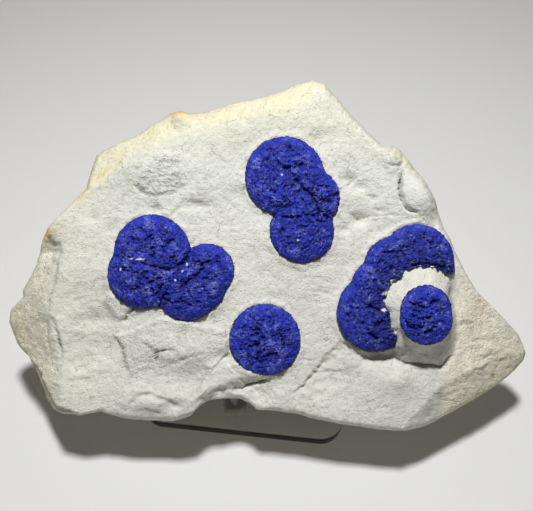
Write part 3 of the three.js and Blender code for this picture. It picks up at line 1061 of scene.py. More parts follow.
        # Painted shade: darker where the face lies below its blurred self, in cracks, dents and hollows.
        hollow_shade = np.clip((self.blurred(w, self.hollow_blur) - w) * self.hollow_gain, 0.0, 1.0)
        return {
            "cream": (np.clip(np.maximum(cream, side * (0.35 + 0.5 * patchy)), 0.0, 1.0), 0.4),
            "beige_with_painted_light": (np.clip(np.maximum(beige_with_painted_light, self.side_beige * side), 0.0, 1.0), self.side_beige),
            "rust": (np.clip(rust * (0.5 + patchy), 0.0, 1.0), 0.0),
            "hollow_shade": (np.maximum(hollow_shade, self.chip_shade.of(self.chip(u, v))), 0.2),
            "rough": (self.roughness(u, v), 0.7),
        }

    def build(self, face: FaceFrame, finish: "Claystone") -> Piece:
        """Makes and dresses the slab.

        Args:
            face: Where the face lies.
            finish: The stone's finish.

        Returns:
            The piece.
        """
        top = self.top_points()
        piece = closed_body("slab", face.place(top), face.place(self.back_points()))
        # The masks carry painted shade in hollows and on the chipped edge, and buff painted lighter.
        for name, (values, below) in self.stains_and_painted_light(top[..., 0], top[..., 1], top[..., 2]).items():
            write_mask(piece, name, values, below)
        return dress(piece, self.node, finish)

    @staticmethod
    def blurred(values: Array, times: int) -> Array:
        """A sheet of values, each averaged with its neighbours.

        Args:
            values: The sheet.
            times: How often it is averaged.

        Returns:
            The blurred sheet.
        """
        for _ in range(times):
            wide = np.pad(values, 1, mode="edge")
            values = (wide[:-2, 1:-1] + wide[2:, 1:-1] + wide[1:-1, :-2] + wide[1:-1, 2:] + values) / 5.0
        return values


@dataclass
class Sun:
    """A drusy azurite disc of one or more lobes, grown on the slab.

    Crown is its height, shared out between its foot, its rounded edge and its dome, and lift is how far it
    tips down the slope. A fleck of clay has its middle, length and width. Pit shades are how much painted
    shade darkens the holes, dots, creases, seams and foot.
    """

    node: str
    lobes: Lobes
    crown: float
    lift: float
    seed: int
    creases: tuple[Path, ...] = ()
    flecks: tuple[Fleck, ...] = ()
    seat: float | None = None
    cells: int = 172
    wall_rings: int = 6
    roll: float = 4.4
    sink: float = 1.0
    root: float = 0.3
    tuck: float = 0.05
    under_tuck: float = 0.06
    crown_shares: tuple[float, float, float] = (0.16, 0.5, 0.34)
    rim_edge: Fade = Fade(4.4, 0.8)
    rim_calm: float = 0.3
    rim_fray: Fray = Fray(0.22, 9.0, (0.0, 5.0))
    drifts: tuple[Relief, Relief] = (Relief(0.5, 1.5, 1.5), Relief(0.5, 1.5, 1.5, (50.0, 0.0)))
    coarse_blades: Relief = Relief(0.26, 1.3, 1.3, tilt=0.8)
    fine_blades: Relief = Relief(0.22, 0.65, 0.65, (9.0, 0.0), tilt=0.8)
    blade_push: float = 0.5
    swelling: Relief = Relief(0.3, 3.0, 3.0, octaves=2)
    folds: Relief = Relief(1.9, 7.0, 6.0, (3.0, 0.0))
    fold_level: float = 0.7
    seams: Fade = Fade(0.9, 0.99)
    seam_calm: float = 0.6
    hole_depth: float = 0.7
    holes: Relief = Relief(1.0, 2.3, 1.8, (70.0, 0.0))
    hole_edge: Fade = Fade(0.18, 0.52)
    dot_depth: float = 0.4
    dots: Relief = Relief(1.0, 1.6, 1.6, (5.0, 0.0))
    dot_edge: Fade = Fade(0.34, 0.14)
    dot_least: float = 0.1
    dot_calm: float = 0.8
    cleft_depth: float = 1.6
    cleft_width: float = 0.55
    cleft_gaps: Relief = Relief(1.0, 1.7, 1.7, (20.0, 0.0))
    cleft_ends: Fade = Fade(-0.3, 0.2, 0.5)
    foot_shade: Fade = Fade(0.7, 0.0)
    pit_shades: tuple[float, ...] = (0.7, 0.75, 1.0, 0.5, 0.6)
    fleck_fray: Relief = Relief(0.55, 0.7, 0.7, octaves=2)
    fleck_edge: Fade = Fade(1.0, 0.6)

    def middle(self) -> Point:
        """Mean of the lobes' middles."""
        return tuple(sum(disc[axis] for disc in self.lobes.discs) / len(self.lobes.discs) for axis in (0, 1))

    def nearest_lobe(self, u: Array, v: Array) -> tuple[Array, Array, Array]:
        """The lobe that each point belongs to.

        Args:
            u: First coordinate.
            v: Second coordinate.

        Returns:
            The distance in from that lobe's edge, the share of its radius and the direction from its
            middle.
        """
        inside = np.full(u.shape, -np.inf)
        share, turn = np.zeros_like(u), np.zeros_like(u)
        for cu, cv, radius in self.lobes.discs:
            far = np.hypot(u - cu, v - cv)
            closer = radius - far > inside
            inside = np.where(closer, radius - far, inside)
            share = np.where(closer, far / radius, share)
            turn = np.where(closer, np.arctan2(v - cv, u - cu), turn)
        return np.maximum(inside, 0.0), share, turn

    def relief(self, u: Array, v: Array) -> tuple[Array, Array, Array, Array]:
        """The rounded body with its packed blades, lumps, pits and creases.

        Args:
            u: First coordinate.
            v: Second coordinate.

        Returns:
            Heights over the seat, how far the blades push out, and from 0 to 1 how much painted shade
            darkens each point in the pits, clefts, seams and foot, and how near the rim it is.
        """
        noise = Noise(DRUSE_SEED + self.seed)
        inside, share, _ = self.nearest_lobe(u, v)
        rounded = np.clip(inside / self.roll, 0.0, 1.0)
        foot, edge, dome = self.crown_shares
        body = self.crown * (foot + edge * np.sqrt(1.0 - (1.0 - rounded) ** 2) + dome * (1.0 - share**2))
        rim = self.rim_edge.of(inside)
        rough = 1.0 - self.rim_calm * rim
        wu, wv = (place + drift.ripple(noise, u, v) for place, drift in zip((u, v), self.drifts))
        blades = self.coarse_blades.shards(noise, wu, wv) + self.fine_blades.shards(noise, wu, wv)
        folds = noise.ridged(*self.folds.spaced(wu, wv), self.folds.octaves)
        lumps = self.folds.height * (self.fold_level - folds) + self.swelling.waves(noise, u, v)
        hole = self.hole_edge.of(self.holes.waves(noise, wu, wv)) * (1.0 - rim)
        near, _, key, _, _ = noise.cells(*self.dots.spaced(wu, wv))
        dots = self.dot_edge.of(near) * (noise.level[key] > self.dot_least) * (1.0 - self.dot_calm * rim)
        cleft = np.zeros_like(u)
        for path in self.creases:
            cleft = np.maximum(cleft, np.exp(-((path_distance(path, wu, wv)[0] / self.cleft_width) ** 2)))
        whole = 1.0 - self.cleft_ends.share
        cleft = cleft * (whole + self.cleft_ends.of(self.cleft_gaps.ripple(noise, u, v)))
        seam = self.seams.of(folds) * (1.0 - self.seam_calm * rim)
        # Painted shade: the colour is darkened in the holes, dots, clefts, seams and at the foot of each
        # lobe's edge.
        hollows = zip(self.pit_shades, (hole, dots, cleft, seam, self.foot_shade.of(inside)))
        painted_pit_shade = np.clip(np.max([shade * hollow_shade for shade, hollow_shade in hollows], axis=0), 0.0, 1.0)
        height = body + rough * (blades + lumps) - self.hole_depth * hole - self.dot_depth * dots
        return height - self.cleft_depth * cleft, self.blade_push * blades, painted_pit_shade, rim

    def fleck_mask(self, u: Array, v: Array) -> Array:
        """Where clay sticks to the druse.

        Args:
            u: First coordinate.
            v: Second coordinate.

        Returns:
            Values from 0 to 1 on a fleck.
        """
        fleck = np.zeros_like(u)
        frayed = self.fleck_fray.waves(Noise(FLECK_SEED + self.seed), u, v)
        for cu, cv, length, width in self.flecks:
            far = np.hypot((u - cu) / length, (v - cv) / width)
            fleck = np.maximum(fleck, self.fleck_edge.of(far + frayed))
        return fleck

    def lattice(self) -> tuple[Array, Array, Array]:
        """The upper lattice.

        Returns:
            Both coordinates on the face, and how far down the side each place is, from 0 to 1.
        """
        share, angle, fall = walled_disc(self.cells, self.wall_rings)
        return *self.spread(share, angle, self.tuck * fall), fall

    def spread(self, share: Array, angle: Array, tuck: Array | float) -> tuple[Array, Array]:
        """Places at a share of the way from the middle to the edge.

        Args:
            share: Share of the way.
            angle: Directions, in radians.
            tuck: Share by which the side draws in under the rim.

        Returns:
            Both coordinates.
        """
        at = self.middle()
        frayed = self.rim_fray.along(Noise(RIM_SEED + self.seed), angle)
        far = share * (self.lobes.reach_from(at, angle) + frayed) * (1.0 - tuck)
        return at[0] + far * np.cos(angle), at[1] + far * np.sin(angle)

    def underside(self) -> tuple[Array, Array]:
        """Lower lattice: places on the face."""
        rho, angle = disc_places(self.cells // 2)
        return self.spread(rho, angle, self.under_tuck)

    def build(self, slab: Slab, face: FaceFrame, finish: "Azurite") -> Piece:
        """Makes and dresses the sun.

        Args:
            slab: The slab that it sits on.
            face: Where the slab's face lies.
            finish: The crystal's finish.

        Returns:
            The piece.
        """
        u, v, fall = self.lattice()
        at = self.middle()
        seat = self.seat
        if seat is None:
            seat = float(slab.plain_face(np.array(at[0]), np.array(at[1])))
        half = float(self.lobes.reach_from(at, np.array(-math.pi / 2.0)))
        height, push, painted_pit_shade, rim = self.relief(u, v)
        turn = self.nearest_lobe(u, v)[2]
        u, v = u + push * rim * np.cos(turn), v + push * rim * np.sin(turn)
        crest = seat - self.lift * (v - at[1]) / half + height
        bed = slab.face(u, v) - self.sink
        w = np.maximum(crest + (bed - crest) * fall, bed)
        bottom_u, bottom_v = self.underside()
        bottom_w = slab.face(bottom_u, bottom_v) - self.sink - self.root
        top, bottom = np.stack([u, v, w], -1), np.stack([bottom_u, bottom_v, bottom_w], -1)
        piece = closed_body(self.node + "_druse", face.place(top), face.place(bottom))
        # Masks for painted shade in pits, the rim that carries painted sheen, and clay flecks.
        for name, values in (("painted_pit_shade", painted_pit_shade), ("rim", rim), ("fleck", self.fleck_mask(u, v))):
            write_mask(piece, name, values)
        return dress(piece, self.node, finish)


@dataclass
class BrokenSun(Sun):
    """A sun whose middle has broken out, so that a crescent is left round the boss."""

    hole: Break = Break()
    bites: Relief = Relief(0.9, 5.0, 1.0, octaves=4, gain=0.6)
    outer_fray: Relief = Relief(0.28, 9.0, 1.0, (0.0, 8.0))
    shade_least: float = 0.13
    break_shade: Fade = Fade(10.0, 0.5, 0.5)
    least_width: float = 0.6
    tuck_across: float = 0.025
    tuck_along: float = 0.004
    under_across: float = 0.03
    under_along: float = 0.005

    def relief(self, u: Array, v: Array) -> tuple[Array, Array, Array, Array]:
        """As for a whole sun, with deeper shade beside the break.

        Args:
            u: First coordinate.
            v: Second coordinate.

        Returns:
            What a whole sun gives.
        """
        height, push, painted_pit_shade, rim = super().relief(u, v)
        du, dv = u - self.hole.at[0], v - self.hole.at[1]
        beside = np.hypot(du, dv) - self.hole.radius(np.mod(np.degrees(np.arctan2(dv, du)), 360.0))
        # Painted shade over the whole crescent, darker still beside the break.
        return height, push, np.maximum(painted_pit_shade, self.shade_least + self.break_shade.of(beside)), rim

    def strip(self, along: Array, across: Array) -> tuple[Array, Array]:
        """Places on the crescent.

        Args:
            along: Share of the way from its right-hand end to its lower end.
            across: Share of the way from the broken edge to the outer edge.

        Returns:
            Both coordinates.
        """
        first, last = self.hole.edge[0][0], self.hole.edge[-1][0]
        turn = first + along * (last - first)
        noise = Noise(BREAK_SEED + self.seed)
        angle, level = np.radians(turn), np.zeros_like(turn)
        inner = self.hole.radius(turn) + self.bites.waves(noise, turn, level)
        outer = self.lobes.reach_from(self.hole.at, angle) + self.outer_fray.waves(noise, turn, level)
        far = inner + across * np.maximum(self.least_width, outer - inner)
        return self.hole.at[0] + far * np.cos(angle), self.hole.at[1] + far * np.sin(angle)

    def lattice(self) -> tuple[Array, Array, Array]:
        """The upper lattice of the crescent.

        Returns:
            What a whole sun gives.
        """
        columns, rows = (2 * cells for cells in self.half_cells())
        across, along = np.meshgrid(np.linspace(0.0, 1.0, rows + 1), np.linspace(0.0, 1.0, columns + 1))
        across, inner_fall = self.walled(across, rows, self.tuck_across)
        along, end_fall = self.walled(along, columns, self.tuck_along)
        return *self.strip(along, across), np.maximum(inner_fall, end_fall)

    def half_cells(self) -> tuple[int, int]:
        """Cells of the lower lattice, along and across; the upper one has twice as many."""
        return self.cells * 3 // 4, self.cells // 3

    def walled(self, place: Array, cells: int, tuck: float) -> tuple[Array, Array]:
        """Keeps both ends of one axis of the lattice for the walls.

        Args:
            place: Shares along the axis.
            cells: Cells along the axis.
            tuck: Share by which a wall draws in under the rim.

        Returns:
            The share along the crest, and how far down a wall each place is, from 0 to 1.
        """
        edge = self.wall_rings / cells
        fall = np.clip(np.maximum(edge - place, place - 1.0 + edge) / edge, 0.0, 1.0)
        inner = np.clip((place - edge) / (1.0 - 2.0 * edge), 0.0, 1.0)
        return inner + tuck * fall * (1.0 - 2.0 * inner), fall

    def underside(self) -> tuple[Array, Array]:
        """The lower lattice of the crescent.

        Returns:
            Both coordinates on the face.
        """
        columns, rows = self.half_cells()
        across = np.linspace(self.under_across, 1.0 - self.under_across, rows + 1)
        along = np.linspace(self.under_along, 1.0 - self.under_along, columns + 1)
        return self.strip(*np.meshgrid(across, along)[::-1])


class Nodes:
    """Adds and joins the nodes of one shader tree."""

    def __init__(self, tree: bpy.types.NodeTree) -> None:
        """Takes the tree to add to."""
        self.tree = tree

    def add(self, kind: str, **values: object) -> bpy.types.Node:
        """Adds a node.

        Args:
            kind: The node's type name, without its ShaderNode prefix.
            values: Properties of the node, and inputs by name with spaces as underscores.

        Returns:
            The node.
        """
        node = self.tree.nodes.new("ShaderNode" + kind)
        inputs: dict[str, object] = {}
        for name, value in values.items():
            if hasattr(node, name) and not isinstance(value, Socket):
                setattr(node, name, value)
            else:
                inputs[name.replace("_", " ")] = value
        for name, value in inputs.items():
            socket = next(s for s in node.inputs if s.name == name and s.enabled)
            self.feed(socket, value)
        return node

    def feed(self, socket: Socket, value: object) -> None:
        """Links a socket to an output, or sets its value.

        Args:
            socket: The input.
            value: An output, or a plain value.
        """
        if isinstance(value, Socket):
            self.tree.links.new(value, socket)
        else:
            socket.default_value = value

    def mix(self, mask: object, low: object, high: object, blend: str = "MIX") -> Socket:
        """Mixes two colours.

        Args:
            mask: Share of the second colour.
            low: First colour.
            high: Second colour.
            blend: How the second is laid on the first.

        Returns:
            The mixed colour.
        """
        node = self.add("Mix", data_type="RGBA", blend_type=blend)
        for name, value in (("Factor", mask), ("A", low), ("B", high)):
            self.feed(next(s for s in node.inputs if s.name == name and s.enabled), value)
        return next(s for s in node.outputs if s.enabled)

    def math(self, operation: str, first: object, second: object = 0.0) -> Socket:
        """One sum on two values.

        Args:
            operation: What is done with them.
            first: First value or output.
            second: Second value or output.

        Returns:
            The result.
        """
        node = self.add("Math", operation=operation)
        self.feed(node.inputs[0], first)
        self.feed(node.inputs[1], second)
        return node.outputs[0]

    def times(self, first: object, second: object) -> Socket:
        """Product of two values."""
        return self.math("MULTIPLY", first, second)

    def ramp(
        self, value: object, low: object, high: object, to_low: float = 0.0, to_high: float = 1.0
    ) -> Socket:
        """Maps a range of values to another, clamped."""
        node = self.add("MapRange", Value=value, From_Min=low, From_Max=high, To_Min=to_low, To_Max=to_high)
        return node.outputs["Result"]

    def mask(self, name: str) -> Socket:
        """Reads a value that the mesh holds for each vertex."""
        return self.add("Attribute", attribute_name=name).outputs["Fac"]

    def place(self) -> Socket:
        """The place on the piece, in metres."""
        return self.add("TexCoord").outputs["Object"]

    def effect(self, effect: "Effect", **values: float) -> bpy.types.Node:
        """Places the node group of an effect with its own values.

        Args:
            effect: The effect.
            values: Inputs of the group by name.

        Returns:
            The group's node.
        """
        node = self.add("Group", node_tree=effect.tree())
        for name, value in values.items():
            self.feed(node.inputs[name], value)
        return node


class Effect(Enum):
    """Surface effects that several finishes share."""

    GRAIN = "grain"
    MOTTLE = "mottle"
    SPECK = "speck"
    HAIRLINE = "hairline"

    def tree(self) -> bpy.types.NodeTree:
        """The effect's node group, built the first time it is asked for.

        Returns:
            The group.
        """
        found = bpy.data.node_groups.get(self.value)
        makers = {
            Effect.GRAIN: grain_group,
            Effect.MOTTLE: mottle_group,
            Effect.SPECK: speck_group,
            Effect.HAIRLINE: hairline_group,
        }
        return found or makers[self]()


def new_group(
    effect: Effect, inputs: dict[str, float], outputs: tuple[str, ...]
) -> tuple[Nodes, dict[str, Socket], bpy.types.Node]:
    """Starts a node group of values.

    Args:
        effect: The effect that it makes.
        inputs: Names and usual values of its inputs.
        outputs: Names of its outputs.

    Returns:
        Its nodes, its inputs by name and its output node.
    """
    tree = bpy.data.node_groups.new(effect.value, "ShaderNodeTree")
    for name, value in inputs.items():
        tree.interface.new_socket(name, in_out="INPUT", socket_type="NodeSocketFloat").default_value = value
    for name in outputs:
        tree.interface.new_socket(name, in_out="OUTPUT", socket_type="NodeSocketFloat")
    given = tree.nodes.new("NodeGroupInput").outputs
    return Nodes(tree), {name: given[name] for name in inputs}, tree.nodes.new("NodeGroupOutput")


def grain_group() -> bpy.types.NodeTree:
    """Fine grain.

    Returns:
        A group that gives a height for bump, and a tone that rises with it, which paints the grain darker in
        its lows and lighter on its crests.
    """
    nodes, given, result = new_group(Effect.GRAIN, {"Scale": 1500.0, "Pits": 0.3}, ("Height", "Tone"))
    place = nodes.place()
    fine = nodes.add("TexNoise", Vector=place, Scale=given["Scale"], Detail=5.0, Roughness=0.62)
    broad = nodes.add("TexNoise", Vector=place, Scale=nodes.times(given["Scale"], 0.23), Detail=3.0)
    cells = nodes.add("TexVoronoi", Vector=place, Scale=nodes.times(given["Scale"], 0.4))
    pits = nodes.times(nodes.ramp(cells.outputs["Distance"], 0.32, 0.1), given["Pits"])
    body = nodes.math("ADD", nodes.times(fine.outputs[0], 0.6), nodes.times(broad.outputs[0], 0.4))
    nodes.feed(result.inputs["Height"], nodes.math("SUBTRACT", body, pits))
    nodes.feed(result.inputs["Tone"], nodes.ramp(body, 0.3, 0.7))
    return nodes.tree


def mottle_group() -> bpy.types.NodeTree:
    """Broad patches.

    Returns:
        A group that gives a mask from 0 to 1.
    """
    nodes, given, result = new_group(Effect.MOTTLE, {"Scale": 60.0, "Low": 0.4, "High": 0.65}, ("Mask",))
    noise = nodes.add(
        "TexNoise", Vector=nodes.place(), Scale=given["Scale"], Detail=6.0, Roughness=0.6, Distortion=0.4
    )
    nodes.feed(result.inputs["Mask"], nodes.ramp(noise.outputs[0], given["Low"], given["High"]))
    return nodes.tree


def speck_group() -> bpy.types.NodeTree:
    """Scattered specks.

    Returns:
        A group that gives a mask, 1 on a speck.
    """
    nodes, given, result = new_group(Effect.SPECK, {"Scale": 900.0, "Amount": 0.06}, ("Mask",))
    cells = nodes.add("TexVoronoi", Vector=nodes.place(), Scale=given["Scale"], Randomness=1.0)
    chance = nodes.add("SeparateColor", Color=cells.outputs["Color"]).outputs[0]
    chosen = nodes.math("LESS_THAN", chance, given["Amount"])
    shape = nodes.ramp(cells.outputs["Distance"], 0.5, 0.3)
    nodes.feed(result.inputs["Mask"], nodes.times(chosen, shape))
    return nodes.tree


def hairline_group() -> bpy.types.NodeTree:
    """Thin broken lines.

    Returns:
        A group that gives a mask, 1 on a line.
    """
    nodes, given, result = new_group(Effect.HAIRLINE, {"Scale": 70.0, "Width": 0.008}, ("Mask",))
    place = nodes.place()
    drift = nodes.add("TexNoise", Vector=place, Scale=nodes.times(given["Scale"], 6.0), Detail=2.0)
    bent = nodes.add(
        "MixRGB", blend_type="LINEAR_LIGHT", Fac=0.0016, Color1=place, Color2=drift.outputs["Color"]
    )
    edges = nodes.add(
        "TexVoronoi", feature="DISTANCE_TO_EDGE", Vector=bent.outputs[0], Scale=given["Scale"]
    )
    breaks = nodes.add("TexNoise", Vector=place, Scale=nodes.times(given["Scale"], 1.4), Detail=3.0)
    line = nodes.ramp(nodes.math("DIVIDE", edges.outputs["Distance"], given["Width"]), 1.0, 0.3)
    nodes.feed(result.inputs["Mask"], nodes.times(line, nodes.ramp(breaks.outputs[0], 0.52, 0.6)))
    return nodes.tree


def new_finish(name: str) -> tuple[bpy.types.Material, Nodes, bpy.types.Node]:
    """Starts a material.

    Args:
        name: Its name.

    Returns:
        The material, its nodes and its shader.
    """
    material = bpy.data.materials.new(name)
    material.use_nodes = True
    return material, Nodes(material.node_tree), material.node_tree.nodes["Principled BSDF"]


@dataclass(frozen=True)
class Finish:
    """A finish whose material is made once and worn by every piece dressed in it."""

    name: ClassVar[str]
    slot: ClassVar[str]

    def material(self) -> bpy.types.Material:
        """The finish's material, made the first time it is asked for."""
        return bpy.data.materials.get(self.name) or self.made()

    def made(self) -> bpy.types.Material:
        """Makes the material; each finish has its own way."""
        raise NotImplementedError


@dataclass(frozen=True)
class Stone(Finish):
    """A mineral's finish: stain colours, painted shade and painted light over a ground colour, with the
    tone, polish and bump of its grain.

    Relief is the bump's depth in metres. The grain's tone paints it darker in its lows and lighter on its
    crests.
    """

    grain_light_tone: Colour
    grain_shade_tone: Colour
    roughness: Point
    specular: float
    bump: float
    relief: float

    def lay(
        self,
        nodes: Nodes,
        shader: bpy.types.Node,
        ground: Colour,
        stains_and_painted_light: StainsAndPaintedLight,
        tone: Socket,
        height: Socket,
    ) -> None:
        """Lays each stain, painted shade and painted light on the ground and joins all to the shader.

        Args:
            nodes: The material's nodes.
            shader: The material's shader.
            ground: Colour under the stains.
            stains_and_painted_light: Share and colour of each stain, painted shade and painted light, from
                the lowest up.
            tone: Tone of the grain, which also paints it darker in its lows and lighter on its crests.
            height: Height of the grain.
        """
        colour: object = ground
        for share, stain in stains_and_painted_light:
            colour = nodes.mix(share, colour, stain)
        # Painted shade and light on the grain: darker where the grain is low, lighter where it is high.
        shading = nodes.mix(tone, self.grain_shade_tone, self.grain_light_tone)
        nodes.feed(shader.inputs["Base Color"], nodes.mix(1.0, colour, shading, "MULTIPLY"))
        nodes.feed(shader.inputs["Roughness"], nodes.ramp(tone, 0.0, 1.0, *self.roughness))
        shader.inputs["Specular IOR Level"].default_value = self.specular
        bump = nodes.add("Bump", Height=height, Strength=self.bump, Distance=self.relief)
        nodes.feed(shader.inputs["Normal"], bump.outputs[0])


@dataclass(frozen=True)
class Claystone(Stone):
    """Chalky white kaolin claystone, stained cream, buff and rusty, with painted shade in its hollows,
    cracks and creased breaks; the buff is painted lighter to stand in for light, and the grain darker in its
    lows and lighter on its crests.
    """

    name: ClassVar[str] = "chalky_claystone"
    slot: ClassVar[str] = "claystone"
    white: Colour = (0.70, 0.708, 0.645, 1.0)
    grey: Colour = (0.55, 0.556, 0.50, 1.0)
    cream: Colour = (0.755, 0.715, 0.505, 1.0)
    # Buff of the bevels, breaks and sides, painted lighter than the stain to stand in for light on these
    # faces.
    beige_with_painted_light: Colour = (0.95, 0.885, 0.69, 1.0)
    fresh: Colour = (0.725, 0.738, 0.71, 1.0)
    rust: Colour = (0.74, 0.46, 0.17, 1.0)
    # Colour of the painted shade, also used for dark specks.
    shade: Colour = (0.33, 0.32, 0.275, 1.0)
    # Tones that paint the grain darker in its lows and lighter on its crests.
    grain_light_tone: Colour = (1.13, 1.13, 1.13, 1.0)
    grain_shade_tone: Colour = (0.82, 0.82, 0.82, 1.0)
    roughness: Point = (0.98, 0.86)
    specular: float = 0.2
    bump: float = 0.9
    relief: float = 0.0005
    crumb_relief: Point = (1.1, 3.2)
    hair_relief: float = 0.35

    def made(self) -> bpy.types.Material:
        """Makes the material.

        Returns:
            The material.
        """
        material, nodes, shader = new_finish(self.name)
        grain = nodes.effect(Effect.GRAIN, Scale=2300.0, Pits=0.3)
        crumbs = nodes.effect(Effect.GRAIN, Scale=1000.0, Pits=0.08)
        patches = nodes.effect(Effect.MOTTLE, Scale=55.0, Low=0.38, High=0.7).outputs["Mask"]
        veil = nodes.effect(Effect.MOTTLE, Scale=140.0, Low=0.35, High=0.75).outputs["Mask"]
        specks = nodes.effect(Effect.SPECK, Scale=900.0, Amount=0.06).outputs["Mask"]
        hairs = nodes.effect(Effect.HAIRLINE, Scale=95.0, Width=0.014).outputs["Mask"]
        rough = nodes.mask("rough")
        # Painted shade in the creases of rough breaks, where the crumbs and grain are low.
        wrinkle_shade = nodes.math(
            "MAXIMUM",
            nodes.ramp(crumbs.outputs["Tone"], 0.48, 0.2, 0.0, 0.55),
            nodes.ramp(grain.outputs["Tone"], 0.42, 0.15, 0.0, 0.55),
        )
        stains_and_painted_light = (
            (nodes.times(patches, 0.38), self.grey),
            (nodes.times(rough, 0.6), self.fresh),
            (nodes.times(nodes.mask("beige_with_painted_light"), nodes.ramp(veil, 0.0, 1.0, 0.6, 1.0)), self.beige_with_painted_light),
            (nodes.times(nodes.mask("cream"), nodes.ramp(veil, 0.0, 1.0, 0.75, 1.0)), self.cream),
            (nodes.mask("rust"), self.rust),
            # Painted shade in hollows, cracks and on the chipped edge.
            (nodes.times(nodes.mask("hollow_shade"), 0.6), self.shade),
            (nodes.times(specks, 0.35), self.shade),
            # Painted shade along thin hairline cracks, which are also pressed into the bump.
            (nodes.times(hairs, 0.25), self.shade),
            # Painted shade in the creases of rough breaks.
            (nodes.times(rough, wrinkle_shade), self.shade),
        )
        coarse = nodes.times(crumbs.outputs["Height"], nodes.ramp(rough, 0.0, 1.0, *self.crumb_relief))
        height = nodes.math("ADD", grain.outputs["Height"], coarse)
        height = nodes.math("SUBTRACT", height, nodes.times(hairs, self.hair_relief))
        self.lay(nodes, shader, self.white, stains_and_painted_light, grain.outputs["Tone"], height)
        return material


@dataclass(frozen=True)
class Azurite(Stone):
    """Deep blue azurite with a velvety rim and pale frosting that both carry painted sheen, painted shade in
    its pits and clefts, and painted glinting specks.
    """

    name: ClassVar[str] = "drusy_azurite"
    slot: ClassVar[str] = "azurite"
    # Blue of the painted shade in pits, clefts, seams and at the foot.
    pit_shade_blue: Colour = (0.002, 0.003, 0.03, 1.0)
    body: Colour = (0.010, 0.020, 0.25, 1.0)
    # Vivid blue, laid in random patches and, as painted sheen, brighter toward each lobe's rim.
    velvet_and_sheen: Colour = (0.015, 0.029, 0.44, 1.0)
    # Pale lavender of frosted patches, lightest on the grain's crests: the crystals' own frosting with
    # painted sheen.
    frost_and_sheen: Colour = (0.16, 0.185, 0.52, 1.0)
    # Pale colour of painted glinting specks, standing in for light caught by crystal faces.
    painted_glint: Colour = (0.17, 0.19, 0.50, 1.0)
    clay: Colour = (0.66, 0.65, 0.60, 1.0)
    # Tones that paint the grain darker in its lows and lighter on its crests.
    grain_light_tone: Colour = (1.62, 1.62, 1.5, 1.0)
    grain_shade_tone: Colour = (0.38, 0.38, 0.43, 1.0)
    roughness: Point = (0.72, 0.5)
    specular: float = 0.3
    bump: float = 1.0
    relief: float = 0.0008

    def made(self) -> bpy.types.Material:
        """Makes the material.

        Returns:
            The material.
        """
        material, nodes, shader = new_finish(self.name)
        grain = nodes.effect(Effect.GRAIN, Scale=1250.0, Pits=0.5)
        tone = grain.outputs["Tone"]
        patches = nodes.effect(Effect.MOTTLE, Scale=380.0, Low=0.36, High=0.66).outputs["Mask"]
        frosting = nodes.effect(Effect.MOTTLE, Scale=260.0, Low=0.47, High=0.64).outputs["Mask"]
        # Where the painted glinting specks fall.
        painted_glints = nodes.effect(Effect.SPECK, Scale=1500.0, Amount=0.2).outputs["Mask"]
        rim = nodes.mask("rim")
        frosted = nodes.times(frosting, nodes.ramp(tone, 0.35, 0.75))
        stains_and_painted_light = (
            (patches, self.velvet_and_sheen),
            # Painted sheen: the rim is laid more vivid and brighter all round.
            (nodes.times(rim, 0.7), self.velvet_and_sheen),
            # Frosted patches, partly painted sheen, lightest on the grain's crests.
            (nodes.times(frosted, nodes.ramp(rim, 0.2, 1.0, 0.8, 0.6)), self.frost_and_sheen),
            # Painted shade in pits, clefts, seams and at the foot.
            (nodes.times(nodes.mask("painted_pit_shade"), 0.85), self.pit_shade_blue),
            # Painted glinting specks, most in the frosted patches.
            (nodes.times(painted_glints, nodes.ramp(frosting, 0.0, 0.6, 0.25, 0.9)), self.painted_glint),
            (nodes.mask("fleck"), self.clay),
        )
        self.lay(nodes, shader, self.body, stains_and_painted_light, tone, grain.outputs["Height"])
        return material


@dataclass(frozen=True)
class Acrylic(Finish):
    """Clear polished acrylic with faint handling marks.

    Light that has turned many times inside it is caught, and leaves dimmed to the depth's grey, which paints
    shade along the plate's edges.
    """

    name: ClassVar[str] = "polished_acrylic"
    slot: ClassVar[str] = "acrylic"
    tint: Colour = (0.985, 0.982, 0.975, 1.0)
    # Grey of the painted shade that light caught inside the plate leaves along its edges.
    depth: Colour = (0.45, 0.44, 0.42, 1.0)
    roughness: Point = (0.015, 0.09)
    index: float = 1.49
    caught_after: float = 4.0

    def made(self) -> bpy.types.Material:
        """Makes the material.

        Returns:
            The material.
        """
        material, nodes, shader = new_finish(self.name)
        shader.inputs["Base Color"].default_value = self.tint
        shader.inputs["Transmission Weight"].default_value = 1.0
        shader.inputs["IOR"].default_value = self.index
        marks = nodes.effect(Effect.MOTTLE, Scale=90.0, Low=0.45, High=0.8)
        nodes.feed(shader.inputs["Roughness"], nodes.ramp(marks.outputs["Mask"], 0.0, 1.0, *self.roughness))
        split = nodes.add("MixShader")
        path = nodes.add("LightPath")
        passing = nodes.math("MAXIMUM", path.outputs["Is Shadow Ray"], path.outputs["Is Diffuse Ray"])
        # Rays turned more than a few times pass on dimmed: painted shade along the plate's edges.
        caught = nodes.math("GREATER_THAN", path.outputs["Ray Depth"], self.caught_after)
        through = nodes.add("BsdfTransparent", Color=nodes.mix(caught, self.tint, self.depth))
        nodes.feed(split.inputs[0], nodes.math("MAXIMUM", passing, caught))
        nodes.feed(split.inputs[1], shader.outputs[0])
        nodes.feed(split.inputs[2], through.outputs[0])
        nodes.feed(material.node_tree.nodes["Material Output"].inputs["Surface"], split.outputs[0])
        return material


def dress(piece: Piece, node: str, finish: Finish) -> Piece:
    """Finishes a piece and puts it in place of its plain solid.

    Args:
        piece: The piece.
        node: The solid that it stands for.
        finish: Its finish.

    Returns:
        The piece.
    """
    piece.data.materials.append(finish.material())
    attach(piece, "root")
    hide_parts(node)
    return piece


